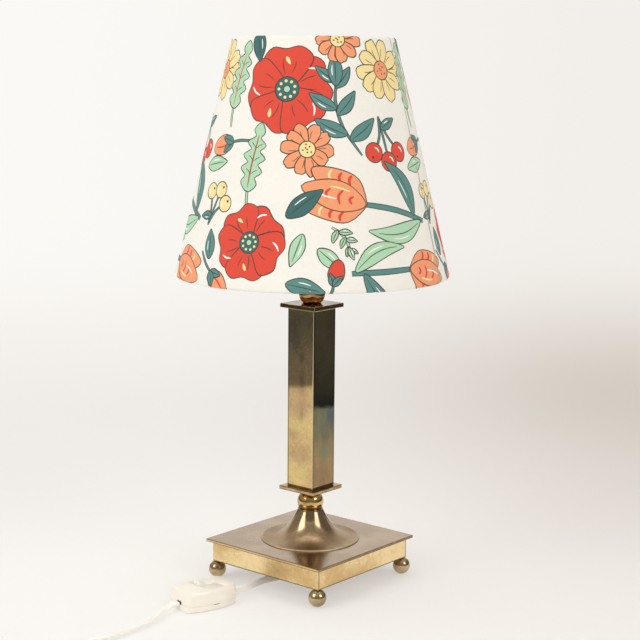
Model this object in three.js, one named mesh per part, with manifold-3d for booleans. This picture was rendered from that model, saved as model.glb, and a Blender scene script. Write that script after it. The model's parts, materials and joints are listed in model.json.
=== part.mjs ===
// Table lamp: square brass stand on ball feet, lampholder, wire-carried fabric shade,
// and a flex with an in-line switch and a plug.
// Millimetres, +Z up, origin on the floor under the middle of the base.
import * as THREE from "three";
import { mergeVertices } from "three/addons/utils/BufferGeometryUtils.js";
import Module from "manifold-3d";

// Clearances
const SEAT = 0.1;
const FIT = 0.3;

// Base
const BASE_SIDE = 132;
const PLATE_T = 2.3;
const SKIRT_INSET = 4.3;
const SKIRT_WALL = 1.2;
const SKIRT_H = 17.9;
const FOOT_R = 7.8;
const FOOT_FLAT_R = 1.6;
const FOOT_SINK = 0.5;
const FOOT_INSET = 3;
const FOOT_STEPS = 7;
const STUD_R = 1.2;
const STUD_H = 8;
const BLOCK_SIDE = 9;
const BLOCK_H = 11;

// Stem
const ROD_R = 5;
const ROD_WALL = 1.2;
const ROD_BELOW = 9;
const ROD_ABOVE = 7;
const BORE_R = ROD_R + FIT;
const KNOP_R = 11.7;
const KNOP_LIP = 0.45;
const KNOP_STEPS = 9;
const NECK_R = 11.3;
const KNOP_SEAT_R = 10.2;
const KNOP_COLLAR_R = 7.4;
const KNOP_COLLAR_H = 2.73;
const NECK_DEPTH = 4;
const KNOP_FOOT_R = 7.8;
const FLARE_R = 44.2;
const FLARE_H = 27.3;
const FLARE_RIM = 1;
const FLARE_POWER = 2.8;
const FLARE_WALL = 1.4;
const FLARE_STEPS = 8;
const FLARE_CROWDING = 1.2;
const SQUARE_SIDE = 39.9;
const LOWER_SQUARE_T = 3.2;
const UPPER_SQUARE_T = 3.6;
const COLUMN_SIDE = 29.7;
const COLUMN_WALL = 1.5;
const COLUMN_H = 160.3;
const WASHER_R = 14;
const WASHER_T = 1.6;
const NUT_FLATS = 14;
const NUT_T = 3.6;

// Lampholder
const COLLAR_R = 8;
const COLLAR_H = 4;
const CAP_H = 18;
const CAP_SHOULDER = 12;
const HOLDER_R = 19.5;
const HOLDER_WALL = 1.5;
const SHELL_H = 33;
const FLANGE_R = 22.5;
const FLANGE_H = 17;
const FLANGE_T = 1.5;
const INSERT_H = 12;
const INSERT_HOLE_R = 3;
const THREAD_R = 13.5;
const THREAD_WALL = 0.6;
const THREAD_H = 24;
const THREAD_HOLE_R = 9;
const CONTACT_R = 5;
const CONTACT_T = 1.5;
const CONTACT_STEM = 4;
const RING_R = 23.6;
const RING_H = 7;

// Bulb
const BULB_CAP_R = 13;
const BULB_CAP_WALL = 0.5;
const BULB_CAP_H = 24;
const BULB_CONE_H = 5;
const BULB_TIP_R = 4.4;
const BULB_TIP_H = 1.2;
const GLASS_WALL = 0.8;
const GLASS_NECK = 18;
const GLASS_OUTLINE = [[11.8, 0], [12, 6.4], [14, 12], [16.8, 20], [22.4, 31], [28, 43], [30, 55],
    [28.4, 67], [22, 78], [12, 84.6]];
const GLASS_TOP = 87;

// Shade and its carrier
const SHADE_TOP_R = 69.5;
const SHADE_BOTTOM_R = 120;
const SHADE_H = 204;
const FABRIC_T = 0.7;
const LINING_T = 0.4;
const LAYER_GAP = 0.2;
const HEM_SLACK = 1.2;
const HEM = 8;
const WIRE_R = 1.6;
const SPOKE_R = 1.2;
const SPOKES = 3;
const SPOKE_STEPS = 9;
const SPOKE_LEAN = 0.6;
const HUB_BORE_R = 10.8;
const HUB_R = 21;
const HUB_T = 1.5;
const HUB_DROP = 10;
const CARRIER_H = 162.7;
const CARRIER_T = 1.5;
const CARRIER_EDGE_R = 27;
const CARRIER_TOP_R = 20;
const CARRIER_PEG_R = 10.4;
const CARRIER_PEG_H = 4;
const CARRIER_STEPS = 12;
const CARRIER_BULGE = [[0.09, 30], [0.25, 39], [0.46, 41], [0.7, 38], [0.91, 28]];

// Flex: a flat twin lead standing on edge
const FLEX_W = 5.7;
const FLEX_T = 3.3;
const FLEX_GAP = 0.3;
const FLEX_SIDES = 8;
const INNER_SHARE = [0.86, 0.8];
const LAMP_SIDE_STEPS = 26;
const PLUG_SIDE_STEPS = 24;
const TAIL_STEPS = 14;
const COIL_SIDES = 6;
const WIRE_SIDES = 5;
const COIL_STEPS = 24;
const COIL_NEXT_TURN = 20;
const COIL_TURNS = 8.41;
const COIL_MEAN_R = 30;
const COIL_PITCH = 3.9;
const COIL_DIP = 2.2;
const COIL_LAYER = 6.3;
const COIL_CENTRE = [11, -318];
const COIL_START = 162.6;
const COIL_Z = 4.6;
const TIE_W = 5;
const TIE_T = 0.7;
const TIE_GAP = 0.4;
const TIE_ANGLE = 60;
const GRIP_R = 7.6;
const GRIP_H = 10;
const GRIP_COVER = 3.5;
const GRIP_SCREW_R = 1.3;
const LAMP_ROUTE = [
  [0, 0, 17.5], [0, -1.1, 12.1], [-0.4, -4.2, 7.5], [-1.6, -8.9, 4.6], [-3.6, -15, 3.8],
  [-8, -30, 4.2], [-10.2, -46, 5], [-9.6, -62, 5.3], [-8.9, -76, 5.2], [-10.7, -87, 5.4],
];
const PLUG_ROUTE = [
  [-24.8, -150, 5.4], [-21.5, -160, 4.9], [-15.2, -184, 4.1], [-13, -208, 3.7], [-14.6, -234, 3.6],
      [-20, -268, 4],
];
const TAIL_ROUTE = [[59, -330.5, 9.4], [75, -317.5, 7.8], [93, -303.5, 7.1], [109, -291.5, 7.1]];

// In-line switch
const SWITCH_PLACE = [-23.5, -143.2];
const SWITCH_TURN = 13;
const SWITCH_L = 50.5;
const SWITCH_PLAN = [[0, 14.6], [0.03, 15.4], [0.3, 18.4], [0.5, 19.3], [0.7, 18.9], [0.92, 15.6], [1, 12]];
const SWITCH_LEAN = 4;
const SWITCH_BASE_Z = 0.4;
const SWITCH_SPLIT = 5.2;
const SWITCH_H = 17;
const SWITCH_CHAMFER = [1.6, 2.2];
const SWITCH_EDGE = 0.8;
const SWITCH_DRAFT = 0.2;
const SWITCH_WALL = 1.6;
const LEAD_Z = 5.6;
const ROCKER_L = 15;
const ROCKER_W = 10;
const ROCKER_AT = 29;
const ROCKER_SIDE = -4.5;
const ROCKER_TILT = 11;
const ROCKER_RISE = 3;
const ROCKER_DIP = 1.4;
const ROCKER_DEPTH = 4.2;
const PIN_R = 1;
const PIN_Z = 15;
const CASE_SCREW_R = 1.5;
const CASE_SCREW_HEAD_R = 2.6;
const CASE_SCREW_HEAD_T = 1;
const CASE_SCREW_AT = [11, 42.5];
const CONTACT_L = 14;
const CONTACT_W = 5;
const CONTACT_PLATE_T = 0.8;

// Plug
const PLUG_PLACE = [109.24, -291.32];
const PLUG_TURN = 38;
const PLUG_SECTIONS = [[0, 4.2, 4.2], [14, 5.2, 5], [22, 12, 6.2], [30, 17, 6.8], [38, 17.4, 6.9]];
const PLUG_Z = 7.1;
const PLUG_CORNER = 0.35;
const PIN_SPREAD = 9.3;
const PLUG_PIN_R = 2;
const PLUG_PIN_L = 19;

// Roundness of turned pieces
const SEGMENTS_LARGE = 40;
const SEGMENTS_MEDIUM = 24;
const SEGMENTS_SMALL = 16;

// Heights of the stack, from the floor up
const skirtZ = 2 * FOOT_R - FOOT_SINK;
const plateZ = skirtZ + SKIRT_H + SEAT;
const flareZ = plateZ + PLATE_T + SEAT;
const neckZ = flareZ + FLARE_H;
const upperCrown = Math.sqrt(KNOP_R ** 2 - (BORE_R + KNOP_LIP) ** 2);
const lowerCrown = Math.sqrt(KNOP_R ** 2 - KNOP_COLLAR_R ** 2);
const lowerSink = Math.sqrt(KNOP_R ** 2 - KNOP_SEAT_R ** 2);
const upperSink = Math.sqrt(KNOP_R ** 2 - KNOP_FOOT_R ** 2);
const lowerKnopZ = neckZ + SEAT + lowerSink;
const lowerSquareZ = lowerKnopZ + lowerCrown + KNOP_COLLAR_H + SEAT;
const columnZ = lowerSquareZ + LOWER_SQUARE_T + SEAT;
const upperSquareZ = columnZ + COLUMN_H + SEAT;
const upperKnopZ = upperSquareZ + UPPER_SQUARE_T + SEAT + upperSink;
const capZ = upperKnopZ + upperCrown + SEAT;
const shellZ = capZ + CAP_H + SEAT;
const insertTop = capZ + CAP_SHOULDER + HOLDER_WALL + INSERT_H;
const carrierZ = shellZ + FLANGE_H + FLANGE_T + SEAT;
const carrierTop = carrierZ + CARRIER_H;
const shadeTop = carrierTop + SEAT + HUB_DROP;
const shadeZ = shadeTop - SHADE_H;
const bulbZ = insertTop + CONTACT_T + FIT;
const rodZ = plateZ - ROD_BELOW;
const rodTop = capZ + ROD_ABOVE;
const gripZ = rodZ + GRIP_COVER - GRIP_H;
const skirtHalf = BASE_SIDE / 2 - SKIRT_INSET;
const footAt = skirtHalf - FOOT_INSET;

const wasm = await Module();
wasm.setup();
const lamp = new THREE.Group();
lamp.name = "table_lamp";

const BRASS = [0xb08d4a, 0.28, 1];
const STEEL = [0xa9a9a6, 0.4, 1];
const NICKEL = [0xc9c7c0, 0.3, 1];
const PORCELAIN = [0xe8e4da, 0.35, 0];
const WIRE = [0xd9d6cf, 0.5, 0.2];
const GLASS = [0xf6f4ee, 0.25, 0];
const FABRIC = [0xeee8d8, 0.9, 0];
const LINING = [0xf4f1e9, 0.8, 0];
const FLEX = [0xf0ece0, 0.5, 0];
const CREAM = [0xece6d4, 0.4, 0];

// Turns any closed geometry into a solid with its faces outward.
function solid(geometry) {
  const bare = geometry.index ? geometry.clone() : geometry;
  bare.deleteAttribute("normal");
  bare.deleteAttribute("uv");
  const merged = mergeVertices(bare, 1e-4);
  const place = merged.attributes.position;
  const index = Array.from(merged.index.array);
  const corner = [new THREE.Vector3(), new THREE.Vector3(), new THREE.Vector3()];
  const kept = [];
  let volume = 0;
  for (let i = 0; i < index.length; i += 3) {
    const tri = index.slice(i, i + 3);
    if (tri[0] === tri[1] || tri[1] === tri[2] || tri[2] === tri[0]) continue;
    tri.forEach((v, k) => corner[k].fromBufferAttribute(place, v));
    volume += corner[0].dot(corner[1].clone().cross(corner[2]));
    kept.push(tri);
  }
  const order = volume < 0 ? kept.map((t) => [t[0], t[2], t[1]]) : kept;
  return new wasm.Manifold(new wasm.Mesh({
    numProp: 3,
    vertProperties: new Float32Array(place.array),
    triVerts: new Uint32Array(order.flat()),
  }));
}

// Adds a named mesh of a solid to a group.
function piece(name, body, finish, group = lamp) {
  const mesh = body.getMesh();
  const geometry = new THREE.BufferGeometry();
  geometry.setAttribute("position", new THREE.BufferAttribute(new Float32Array(mesh.vertProperties), 3));
  geometry.setIndex(new THREE.BufferAttribute(new Uint32Array(mesh.triVerts), 1));
  geometry.computeVertexNormals();
  const [color, roughness, metalness] = finish;
  const part = new THREE.Mesh(geometry, new THREE.MeshStandardMaterial({ color, roughness, metalness }));
  part.name = name;
  group.add(part);
  return part;
}

const turned = (profile, segments) =>
  solid(new THREE.LatheGeometry(profile.map((p) => new THREE.Vector2(p[0], p[1])),
      segments).rotateX(Math.PI / 2));
const outline = (points) => new THREE.Shape(points.map((p) => new THREE.Vector2(p[0], p[1])));
const block = (sx, sy, sz, x, y, z) => solid(new THREE.BoxGeometry(sx, sy, sz).translate(x, y, z));
const rod = (radius, height, z, segments) => turned([[0, z], [radius, z], [radius, z + height],
    [0, z + height]], segments);
const close = (profile) => [...profile, profile[0]];
const square = (side) => [[-side / 2, -side / 2], [side / 2, -side / 2], [side / 2, side / 2],
    [-side / 2, side / 2]];

function extruded(shape, height, z) {
  return solid(new THREE.ExtrudeGeometry(shape, { depth: height, bevelEnabled: false,
      curveSegments: 6 }).translate(0, 0, z));
}

function roundPath(radius, segments) {
  const path = new THREE.Path();
  path.absarc(0, 0, radius, 0, 2 * Math.PI, true);
  return new THREE.Path(path.getPoints(segments).slice(0, -1));
}

function bored(points, radius, height, z, segments) {
  const shape = outline(points);
  shape.holes.push(roundPath(radius, segments));
  return extruded(shape, height, z);
}

// Solid through a list of rings with the same number of corners.
function loft(rings) {
  const count = rings[0].length;
  const triangles = [];
  rings.slice(1).forEach((_, level) => {
    for (let k = 0; k < count; k += 1) {
      const a = level * count + k;
      const b = level * count + (k + 1) % count;
      triangles.push(a, b, a + count, b, b + count, a + count);
    }
  });
  const last = (rings.length - 1) * count;
  for (let k = 1; k < count - 1; k += 1) {
    triangles.push(0, k + 1, k);
    triangles.push(last, last + k, last + k + 1);
  }
  const geometry = new THREE.BufferGeometry();
  geometry.setAttribute("position", new THREE.Float32BufferAttribute(rings.flat(2), 3));
  geometry.setIndex(triangles);
  return solid(geometry);
}

function wire(points, radius, sides, steps) {
  const curve = new THREE.CatmullRomCurve3(points.map((p) => new THREE.Vector3(...p)), false, "centripetal");
  const section = new THREE.Shape(roundPath(radius, sides).getPoints());
  return solid(new THREE.ExtrudeGeometry(section, { steps, extrudePath: curve, bevelEnabled: false }));
}

// Flat flex along a route, on edge.
function flexAlong(points, steps) {
  const curve = new THREE.CatmullRomCurve3(points.map((p) => new THREE.Vector3(...p)), false, "centripetal");
  const section = [];
  for (let k = 0; k < FLEX_SIDES; k += 1) {
    const a = (k + 0.5) / FLEX_SIDES * 2 * Math.PI;
    section.push([FLEX_W / 2 * Math.cos(a), FLEX_T / 2 * Math.sin(a)]);
  }
  return solid(new THREE.ExtrudeGeometry(outline(section),
      { steps, extrudePath: curve, bevelEnabled: false }));
}

function buildBase() {
  piece("base_top_plate", bored(square(BASE_SIDE), BORE_R, PLATE_T, plateZ, SEGMENTS_SMALL), BRASS);
  const band = outline(square(2 * skirtHalf));
  band.holes.push(new THREE.Path(square(2 * (skirtHalf - SKIRT_WALL)).reverse().map((p) =>
      new THREE.Vector2(...p))));
  piece("base_skirt", extruded(band, SKIRT_H, skirtZ), BRASS);
  const ball = [[0, 0], [FOOT_FLAT_R, 0]];
  const ballZ = Math.sqrt(FOOT_R ** 2 - FOOT_FLAT_R ** 2);
  const top = skirtZ - SEAT;
  const first = -Math.asin(ballZ / FOOT_R);
  const final = Math.asin((top - ballZ) / FOOT_R);
  for (let k = 1; k <= FOOT_STEPS; k += 1) {
    const a = first + (final - first) * k / FOOT_STEPS;
    ball.push([FOOT_R * Math.cos(a), ballZ + FOOT_R * Math.sin(a)]);
  }
  ball.push([STUD_R, top], [STUD_R, top + STUD_H], [0, top + STUD_H]);
  const foot = turned(ball, SEGMENTS_SMALL);
  const outer = skirtHalf - SKIRT_WALL - SEAT - footAt;
  const inner = outer - BLOCK_SIDE;
  const corners = [["front_left", -1, -1], ["front_right", 1, -1], ["back_left", -1, 1],
      ["back_right", 1, 1]];
  corners.forEach(([name, sx, sy]) => {
    piece(`ball_foot_${name}`, foot, BRASS).position.set(sx * footAt, sy * footAt, 0);
    const plan = [[sx * inner, sy * inner], [sx * outer, sy * inner], [sx * outer, sy * outer],
        [sx * inner, sy * outer]];
    const ordered = sx * sy > 0 ? plan : plan.reverse();
    const cube = bored(ordered, STUD_R + FIT / 2, BLOCK_H, skirtZ, SEGMENTS_SMALL);
    piece(`corner_block_${name}`, cube, BRASS).position.set(sx * footAt, sy * footAt, 0);
  });
}

function flareProfile() {
  const outer = [];
  for (let k = 0; k <= FLARE_STEPS; k += 1) {
    const u = (k / FLARE_STEPS) ** FLARE_CROWDING;
    outer.push([FLARE_R - (FLARE_R - NECK_R) * u, FLARE_RIM + (FLARE_H - FLARE_RIM) * u ** FLARE_POWER]);
  }
  const inner = [];
  outer.slice(1, -1).forEach((p, k) => {
    const before = outer[k];
    const after = outer[k + 2];
    const run = [after[0] - before[0], after[1] - before[1]];
    const size = Math.hypot(...run);
    const q = [p[0] - FLARE_WALL * run[1] / size, p[1] + FLARE_WALL * run[0] / size];
    if (q[1] > 0 && q[1] < FLARE_H - NECK_DEPTH && q[0] > BORE_R + FLARE_WALL) inner.push(q);
  });
  const rim = inner.length ? inner[0][0] : FLARE_R - FLARE_WALL;
  const throat = inner[inner.length - 1][0];
  return close([
    [rim, 0], [FLARE_R, 0], ...outer, [BORE_R, FLARE_H],
    [BORE_R, FLARE_H - NECK_DEPTH], [throat, FLARE_H - NECK_DEPTH], ...inner.reverse(),
  ]);
}

function knop(sink, crown, collar) {
  const profile = [];
  const first = -Math.asin(sink / KNOP_R);
  const final = Math.asin(crown / KNOP_R);
  for (let k = 0; k <= KNOP_STEPS; k += 1) {
    const a = first + (final - first) * k / KNOP_STEPS;
    profile.push([KNOP_R * Math.cos(a), KNOP_R * Math.sin(a)]);
  }
  const top = crown + collar;
  if (collar > 0) profile.push([KNOP_R * Math.cos(final), top]);
  return turned(close([...profile, [BORE_R, top], [BORE_R, -sink]]), SEGMENTS_MEDIUM);
}

function buildStem() {
  piece("flared_foot", turned(flareProfile(), SEGMENTS_LARGE), BRASS).position.z = flareZ;
  piece("lower_knop", knop(lowerSink, lowerCrown, KNOP_COLLAR_H), BRASS).position.z = lowerKnopZ;
  piece("lower_square_plate", bored(square(SQUARE_SIDE), BORE_R, LOWER_SQUARE_T, lowerSquareZ,
      SEGMENTS_SMALL), BRASS);
  const tube = outline(square(COLUMN_SIDE));
  const hollow = square(COLUMN_SIDE - 2 * COLUMN_WALL).reverse();
  tube.holes.push(new THREE.Path(hollow.map((p) => new THREE.Vector2(...p))));
  piece("square_column", extruded(tube, COLUMN_H, columnZ), BRASS);
  piece("upper_square_plate", bored(square(SQUARE_SIDE), BORE_R, UPPER_SQUARE_T, upperSquareZ,
      SEGMENTS_SMALL), BRASS);
  piece("upper_knop", knop(upperSink, upperCrown, 0), BRASS).position.z = upperKnopZ;
  const bore = ROD_R - ROD_WALL;
  piece("threaded_rod", turned(close([[bore, rodZ], [ROD_R, rodZ], [ROD_R, rodTop], [bore, rodTop]]),
      SEGMENTS_SMALL), STEEL);
  const washerZ = plateZ - SEAT - WASHER_T;
  const washer = close([[BORE_R, washerZ], [WASHER_R, washerZ], [WASHER_R, plateZ - SEAT],
      [BORE_R, plateZ - SEAT]]);
  piece("rod_washer", turned(washer, SEGMENTS_SMALL), STEEL);
  const hex = [];
  for (let k = 0; k < 6; k += 1) {
    const a = (k + 0.5) / 6 * 2 * Math.PI;
    hex.push([NUT_FLATS / Math.sqrt(3) * Math.cos(a), NUT_FLATS / Math.sqrt(3) * Math.sin(a)]);
  }
  piece("rod_nut", bored(hex, BORE_R, NUT_T, washerZ - SEAT - NUT_T, SEGMENTS_SMALL), STEEL);
}

function buildHolder() {
  const inside = HOLDER_R - HOLDER_WALL;
  const cap = close([
    [BORE_R, 0], [COLLAR_R, 0], [COLLAR_R, COLLAR_H], [HOLDER_R, CAP_SHOULDER], [HOLDER_R, CAP_H],
    [inside, CAP_H], [inside, CAP_SHOULDER + HOLDER_WALL / 2], [COLLAR_R, COLLAR_H + HOLDER_WALL],
        [BORE_R, COLLAR_H + HOLDER_WALL],
  ]);
  piece("holder_cap", turned(cap, SEGMENTS_MEDIUM), BRASS).position.z = capZ;
  const shell = close([
    [inside, 0], [HOLDER_R, 0], [HOLDER_R, FLANGE_H], [FLANGE_R, FLANGE_H], [FLANGE_R, FLANGE_H + FLANGE_T],
    [HOLDER_R, FLANGE_H + FLANGE_T], [HOLDER_R, SHELL_H], [inside, SHELL_H],
  ]);
  piece("holder_shell", turned(shell, SEGMENTS_MEDIUM), BRASS).position.z = shellZ;
  const insertR = inside - FIT;
  const insertZ = insertTop - INSERT_H;
  const insert = close([[INSERT_HOLE_R, insertZ], [insertR, insertZ], [insertR, insertTop],
      [INSERT_HOLE_R, insertTop]]);
  piece("holder_insert", turned(insert, SEGMENTS_MEDIUM), PORCELAIN);
  const outer = THREAD_R + THREAD_WALL;
  const cup = close([
    [THREAD_HOLE_R, 0], [outer, 0], [outer, THREAD_H], [THREAD_R, THREAD_H], [THREAD_R, THREAD_WALL],
        [THREAD_HOLE_R, THREAD_WALL],
  ]);
  piece("screw_shell", turned(cup, SEGMENTS_MEDIUM), NICKEL).position.z = insertTop + SEAT;
  const stem = INSERT_HOLE_R - FIT;
  const rivet = [[0, -CONTACT_STEM], [stem, -CONTACT_STEM], [stem, SEAT], [CONTACT_R, SEAT],
      [CONTACT_R, CONTACT_T], [0, CONTACT_T]];
  piece("centre_contact", turned(rivet, SEGMENTS_SMALL), BRASS).position.z = insertTop;
  const ringZ = carrierZ + CARRIER_T + SEAT;
  const nut = close([[HOLDER_R + FIT, ringZ], [RING_R, ringZ], [RING_R, ringZ + RING_H],
      [HOLDER_R + FIT, ringZ + RING_H]]);
  piece("shade_nut", turned(nut, SEGMENTS_MEDIUM), BRASS);
}

function buildBulb() {
  const inside = BULB_CAP_R - BULB_CAP_WALL;
  const cap = [
    [0, BULB_TIP_H + SEAT], [BULB_TIP_R, BULB_TIP_H + SEAT], [BULB_CAP_R, BULB_CONE_H],
        [BULB_CAP_R, BULB_CAP_H],
    [inside, BULB_CAP_H], [inside, BULB_CONE_H + BULB_CAP_WALL], [0, BULB_CONE_H],
  ];
  piece("bulb_cap", turned(cap, SEGMENTS_MEDIUM), NICKEL).position.z = bulbZ;
  piece("bulb_contact", rod(BULB_TIP_R, BULB_TIP_H, 0, SEGMENTS_SMALL), NICKEL).position.z = bulbZ;
  const inner = GLASS_OUTLINE.map((p) => [p[0] - GLASS_WALL, p[1]]);
  const bulb = [[0, GLASS_TOP - GLASS_WALL], ...inner.reverse(), ...GLASS_OUTLINE, [0, GLASS_TOP]];
  piece("bulb_glass", turned(bulb, SEGMENTS_MEDIUM), GLASS).position.z = bulbZ + GLASS_NECK;
}

function buildCarrier() {
  const low = close([[HOLDER_R + FIT, 0], [CARRIER_EDGE_R, 0], [CARRIER_EDGE_R, CARRIER_T],
      [HOLDER_R + FIT, CARRIER_T]]);
  const shelf = CARRIER_H - CARRIER_T;
  const pegIn = CARRIER_PEG_R - CARRIER_T;
  const top = close([
    [pegIn, shelf], [CARRIER_TOP_R, shelf], [CARRIER_TOP_R, CARRIER_H], [CARRIER_PEG_R, CARRIER_H],
    [CARRIER_PEG_R, CARRIER_H + CARRIER_PEG_H], [pegIn, CARRIER_H + CARRIER_PEG_H],
  ]);
  let body = turned(low, SEGMENTS_MEDIUM).add(turned(top, SEGMENTS_SMALL));
  for (let k = 0; k < SPOKES; k += 1) {
    const a = (k + 0.5) / SPOKES * 2 * Math.PI;
    const at = (r, z) => [r * Math.cos(a), r * Math.sin(a), z];
    const bulge = CARRIER_BULGE.map(([share, r]) => at(r, share * CARRIER_H));
    const end = at(CARRIER_TOP_R - SPOKE_R, CARRIER_H - SPOKE_R - SEAT);
    const path = [at(CARRIER_EDGE_R - SPOKE_R, CARRIER_T / 2), ...bulge, end];
    body = body.add(wire(path, SPOKE_R, WIRE_SIDES, CARRIER_STEPS));
  }
  piece("shade_carrier", body, WIRE).position.z = carrierZ;
}

const shadeR = (z) => SHADE_BOTTOM_R + (SHADE_TOP_R - SHADE_BOTTOM_R) * z / SHADE_H;
const liningOut = FABRIC_T + LAYER_GAP;
const ringIn = liningOut + LINING_T + LAYER_GAP;
const lipOut = ringIn + 2 * WIRE_R + HEM_SLACK;
const ringLow = FABRIC_T + LAYER_GAP + WIRE_R;

function buildShade() {
  const group = new THREE.Group();
  group.position.z = shadeZ;
  lamp.add(group);
  const lip = lipOut + FABRIC_T;
  const fabric = close([
    [shadeR(0) - lip, 0], [shadeR(0), 0], [shadeR(SHADE_H), SHADE_H], [shadeR(SHADE_H) - lip, SHADE_H],
    [shadeR(SHADE_H - HEM) - lip, SHADE_H - HEM], [shadeR(SHADE_H - HEM) - lipOut, SHADE_H - HEM],
    [shadeR(SHADE_H - FABRIC_T) - lipOut, SHADE_H - FABRIC_T],
        [shadeR(SHADE_H - FABRIC_T) - FABRIC_T, SHADE_H - FABRIC_T],
    [shadeR(FABRIC_T) - FABRIC_T, FABRIC_T], [shadeR(FABRIC_T) - lipOut, FABRIC_T],
    [shadeR(HEM) - lipOut, HEM], [shadeR(HEM) - lip, HEM],
  ]);
  piece("shade_fabric", turned(fabric, SEGMENTS_LARGE), FABRIC, group);
  const from = FABRIC_T + LAYER_GAP;
  const to = SHADE_H - from;
  const inside = liningOut + LINING_T;
  const lining = close([
    [shadeR(from) - inside, from], [shadeR(from) - liningOut, from], [shadeR(to) - liningOut, to],
        [shadeR(to) - inside, to],
  ]);
  piece("shade_lining", turned(lining, SEGMENTS_LARGE), LINING, group);
  const ring = (z) => {
    const torus = new THREE.TorusGeometry(shadeR(z + WIRE_R) - ringIn - WIRE_R, WIRE_R, COIL_SIDES,
        SEGMENTS_LARGE);
    return solid(torus.translate(0, 0, z));
  };
  piece("shade_bottom_ring", ring(ringLow), WIRE, group);
  const high = SHADE_H - ringLow;
  const hubZ = SHADE_H - HUB_DROP;
  let frame = ring(high).add(turned(close([
    [HUB_BORE_R, hubZ], [HUB_R, hubZ], [HUB_R, hubZ + HUB_T], [HUB_BORE_R, hubZ + HUB_T],
  ]), SEGMENTS_SMALL));
  for (let k = 0; k < SPOKES; k += 1) {
    const a = k / SPOKES * 2 * Math.PI;
    const at = (r, z) => [r * Math.cos(a), r * Math.sin(a), z];
    const edge = shadeR(high + WIRE_R) - ringIn - WIRE_R;
    const under = high - HEM - 2 * WIRE_R;
    const slope = shadeR(0) - shadeR(1);
    const path = [
      at(edge, high), at(edge + slope * (high - under) * SPOKE_LEAN, under + WIRE_R),
          at(edge - HEM / 2, under - WIRE_R),
      at(edge / 2, under), at(HUB_R - HUB_T, hubZ + SPOKE_R + SEAT),
    ];
    frame = frame.add(wire(path, SPOKE_R, WIRE_SIDES, SPOKE_STEPS));
  }
  piece("shade_top_ring", frame, WIRE, group);
}

function buildLead() {
  const hole = [];
  for (let k = 0; k < 2 * FLEX_SIDES; k += 1) {
    const a = (k + 0.5) / FLEX_SIDES * Math.PI;
    hole.push([(FLEX_W / 2 + FIT) * Math.cos(a), (FLEX_T / 2 + FIT) * Math.sin(a)]);
  }
  const sleeve = turned([[0, gripZ], [GRIP_R, gripZ], [GRIP_R, gripZ + GRIP_H], [0, gripZ + GRIP_H]],
      SEGMENTS_SMALL);
  const socket = rod(BORE_R, GRIP_COVER + SEAT + FIT, rodZ - SEAT, SEGMENTS_SMALL);
  const slot = extruded(outline(hole), GRIP_H + 2 * FIT, gripZ - FIT);
  const screwZ = gripZ + (rodZ - gripZ) / 2;
  const along = (radius, from, to) => rod(radius, to - from, from,
      SEGMENTS_SMALL).rotate([0, 90, 0]).translate([0, 0, screwZ]);
  const nip = FLEX_W / 2 + FIT + FLEX_GAP;
  const threadHole = along(GRIP_SCREW_R + FIT / 2, nip - FLEX_GAP, GRIP_R + FIT);
  piece("cord_grip", sleeve.subtract(socket).subtract(slot).subtract(threadHole), CREAM);
  piece("grip_screw", along(GRIP_SCREW_R, nip - FLEX_GAP / 2, GRIP_R), STEEL);
  const upright = [[0, 0, rodZ - SEAT], [0, 0, rodTop - FIT]];
  const core = extruded(outline(hole.map((p) => [p[0] * INNER_SHARE[0], p[1] * INNER_SHARE[1]])),
      upright[1][2] - upright[0][2], upright[0][2]);
  piece("inner_flex", core, FLEX);
  const drop = [[0, 0, rodZ - SEAT - FLEX_GAP], ...LAMP_ROUTE];
  const lampEnd = switchPoint(SWITCH_L + FLEX_GAP, 0);
  piece("flex_lamp_side", flexAlong([...drop, [lampEnd[0], lampEnd[1], LEAD_Z]], LAMP_SIDE_STEPS), FLEX);
  const plugEnd = switchPoint(-FLEX_GAP, 0);
  const [coilX, coilY, coilZ] = coilPoint(0);
  const [awayX, awayY] = coilAway(0);
  const meet = [coilX - awayX * (FLEX_W + FLEX_GAP), coilY - awayY * (FLEX_W + FLEX_GAP), coilZ];
  piece("flex_plug_side", flexAlong([[plugEnd[0], plugEnd[1], LEAD_Z], ...PLUG_ROUTE, meet],
      PLUG_SIDE_STEPS), FLEX);
  const [tailX, tailY, tailZ] = coilPoint(1);
  const [outX, outY] = coilAway(1);
  const leave = [tailX + outX * (FLEX_W + FLEX_GAP), tailY + outY * (FLEX_W + FLEX_GAP), tailZ];
  piece("flex_tail", flexAlong([leave, ...TAIL_ROUTE], TAIL_STEPS), FLEX);
  piece("flex_coil", buildCoil(), FLEX);
  buildTie();
}

// Middle of the flex along the wound coil, 0 at the lamp end and 1 at the plug end.
const coilHalf = COIL_TURNS / 2;
function coilTurn(share) {
  const turn = share * COIL_TURNS;
  const spread = COIL_PITCH * coilHalf;
  const depth = Math.abs(turn - coilHalf);
  const rise = Math.min(1, Math.max(0, (turn - coilHalf) * 2 + 0.5));
  const dip = COIL_DIP * Math.max(0, 1 - 2 * depth);
  const radius = COIL_MEAN_R - spread / 2 + COIL_PITCH * depth - dip;
  return { angle: (COIL_START + turn * 360) * Math.PI / 180, radius, rise };
}

function coilPoint(share) {
  const { angle, radius, rise } = coilTurn(share);
  const lift = COIL_LAYER * (rise * rise * (3 - 2 * rise));
  return [COIL_CENTRE[0] + radius * Math.cos(angle), COIL_CENTRE[1] + radius * Math.sin(angle),
      COIL_Z + lift];
}

function coilAway(share) {
  const { angle } = coilTurn(share);
  return [-Math.sin(angle), Math.cos(angle)];
}

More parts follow.
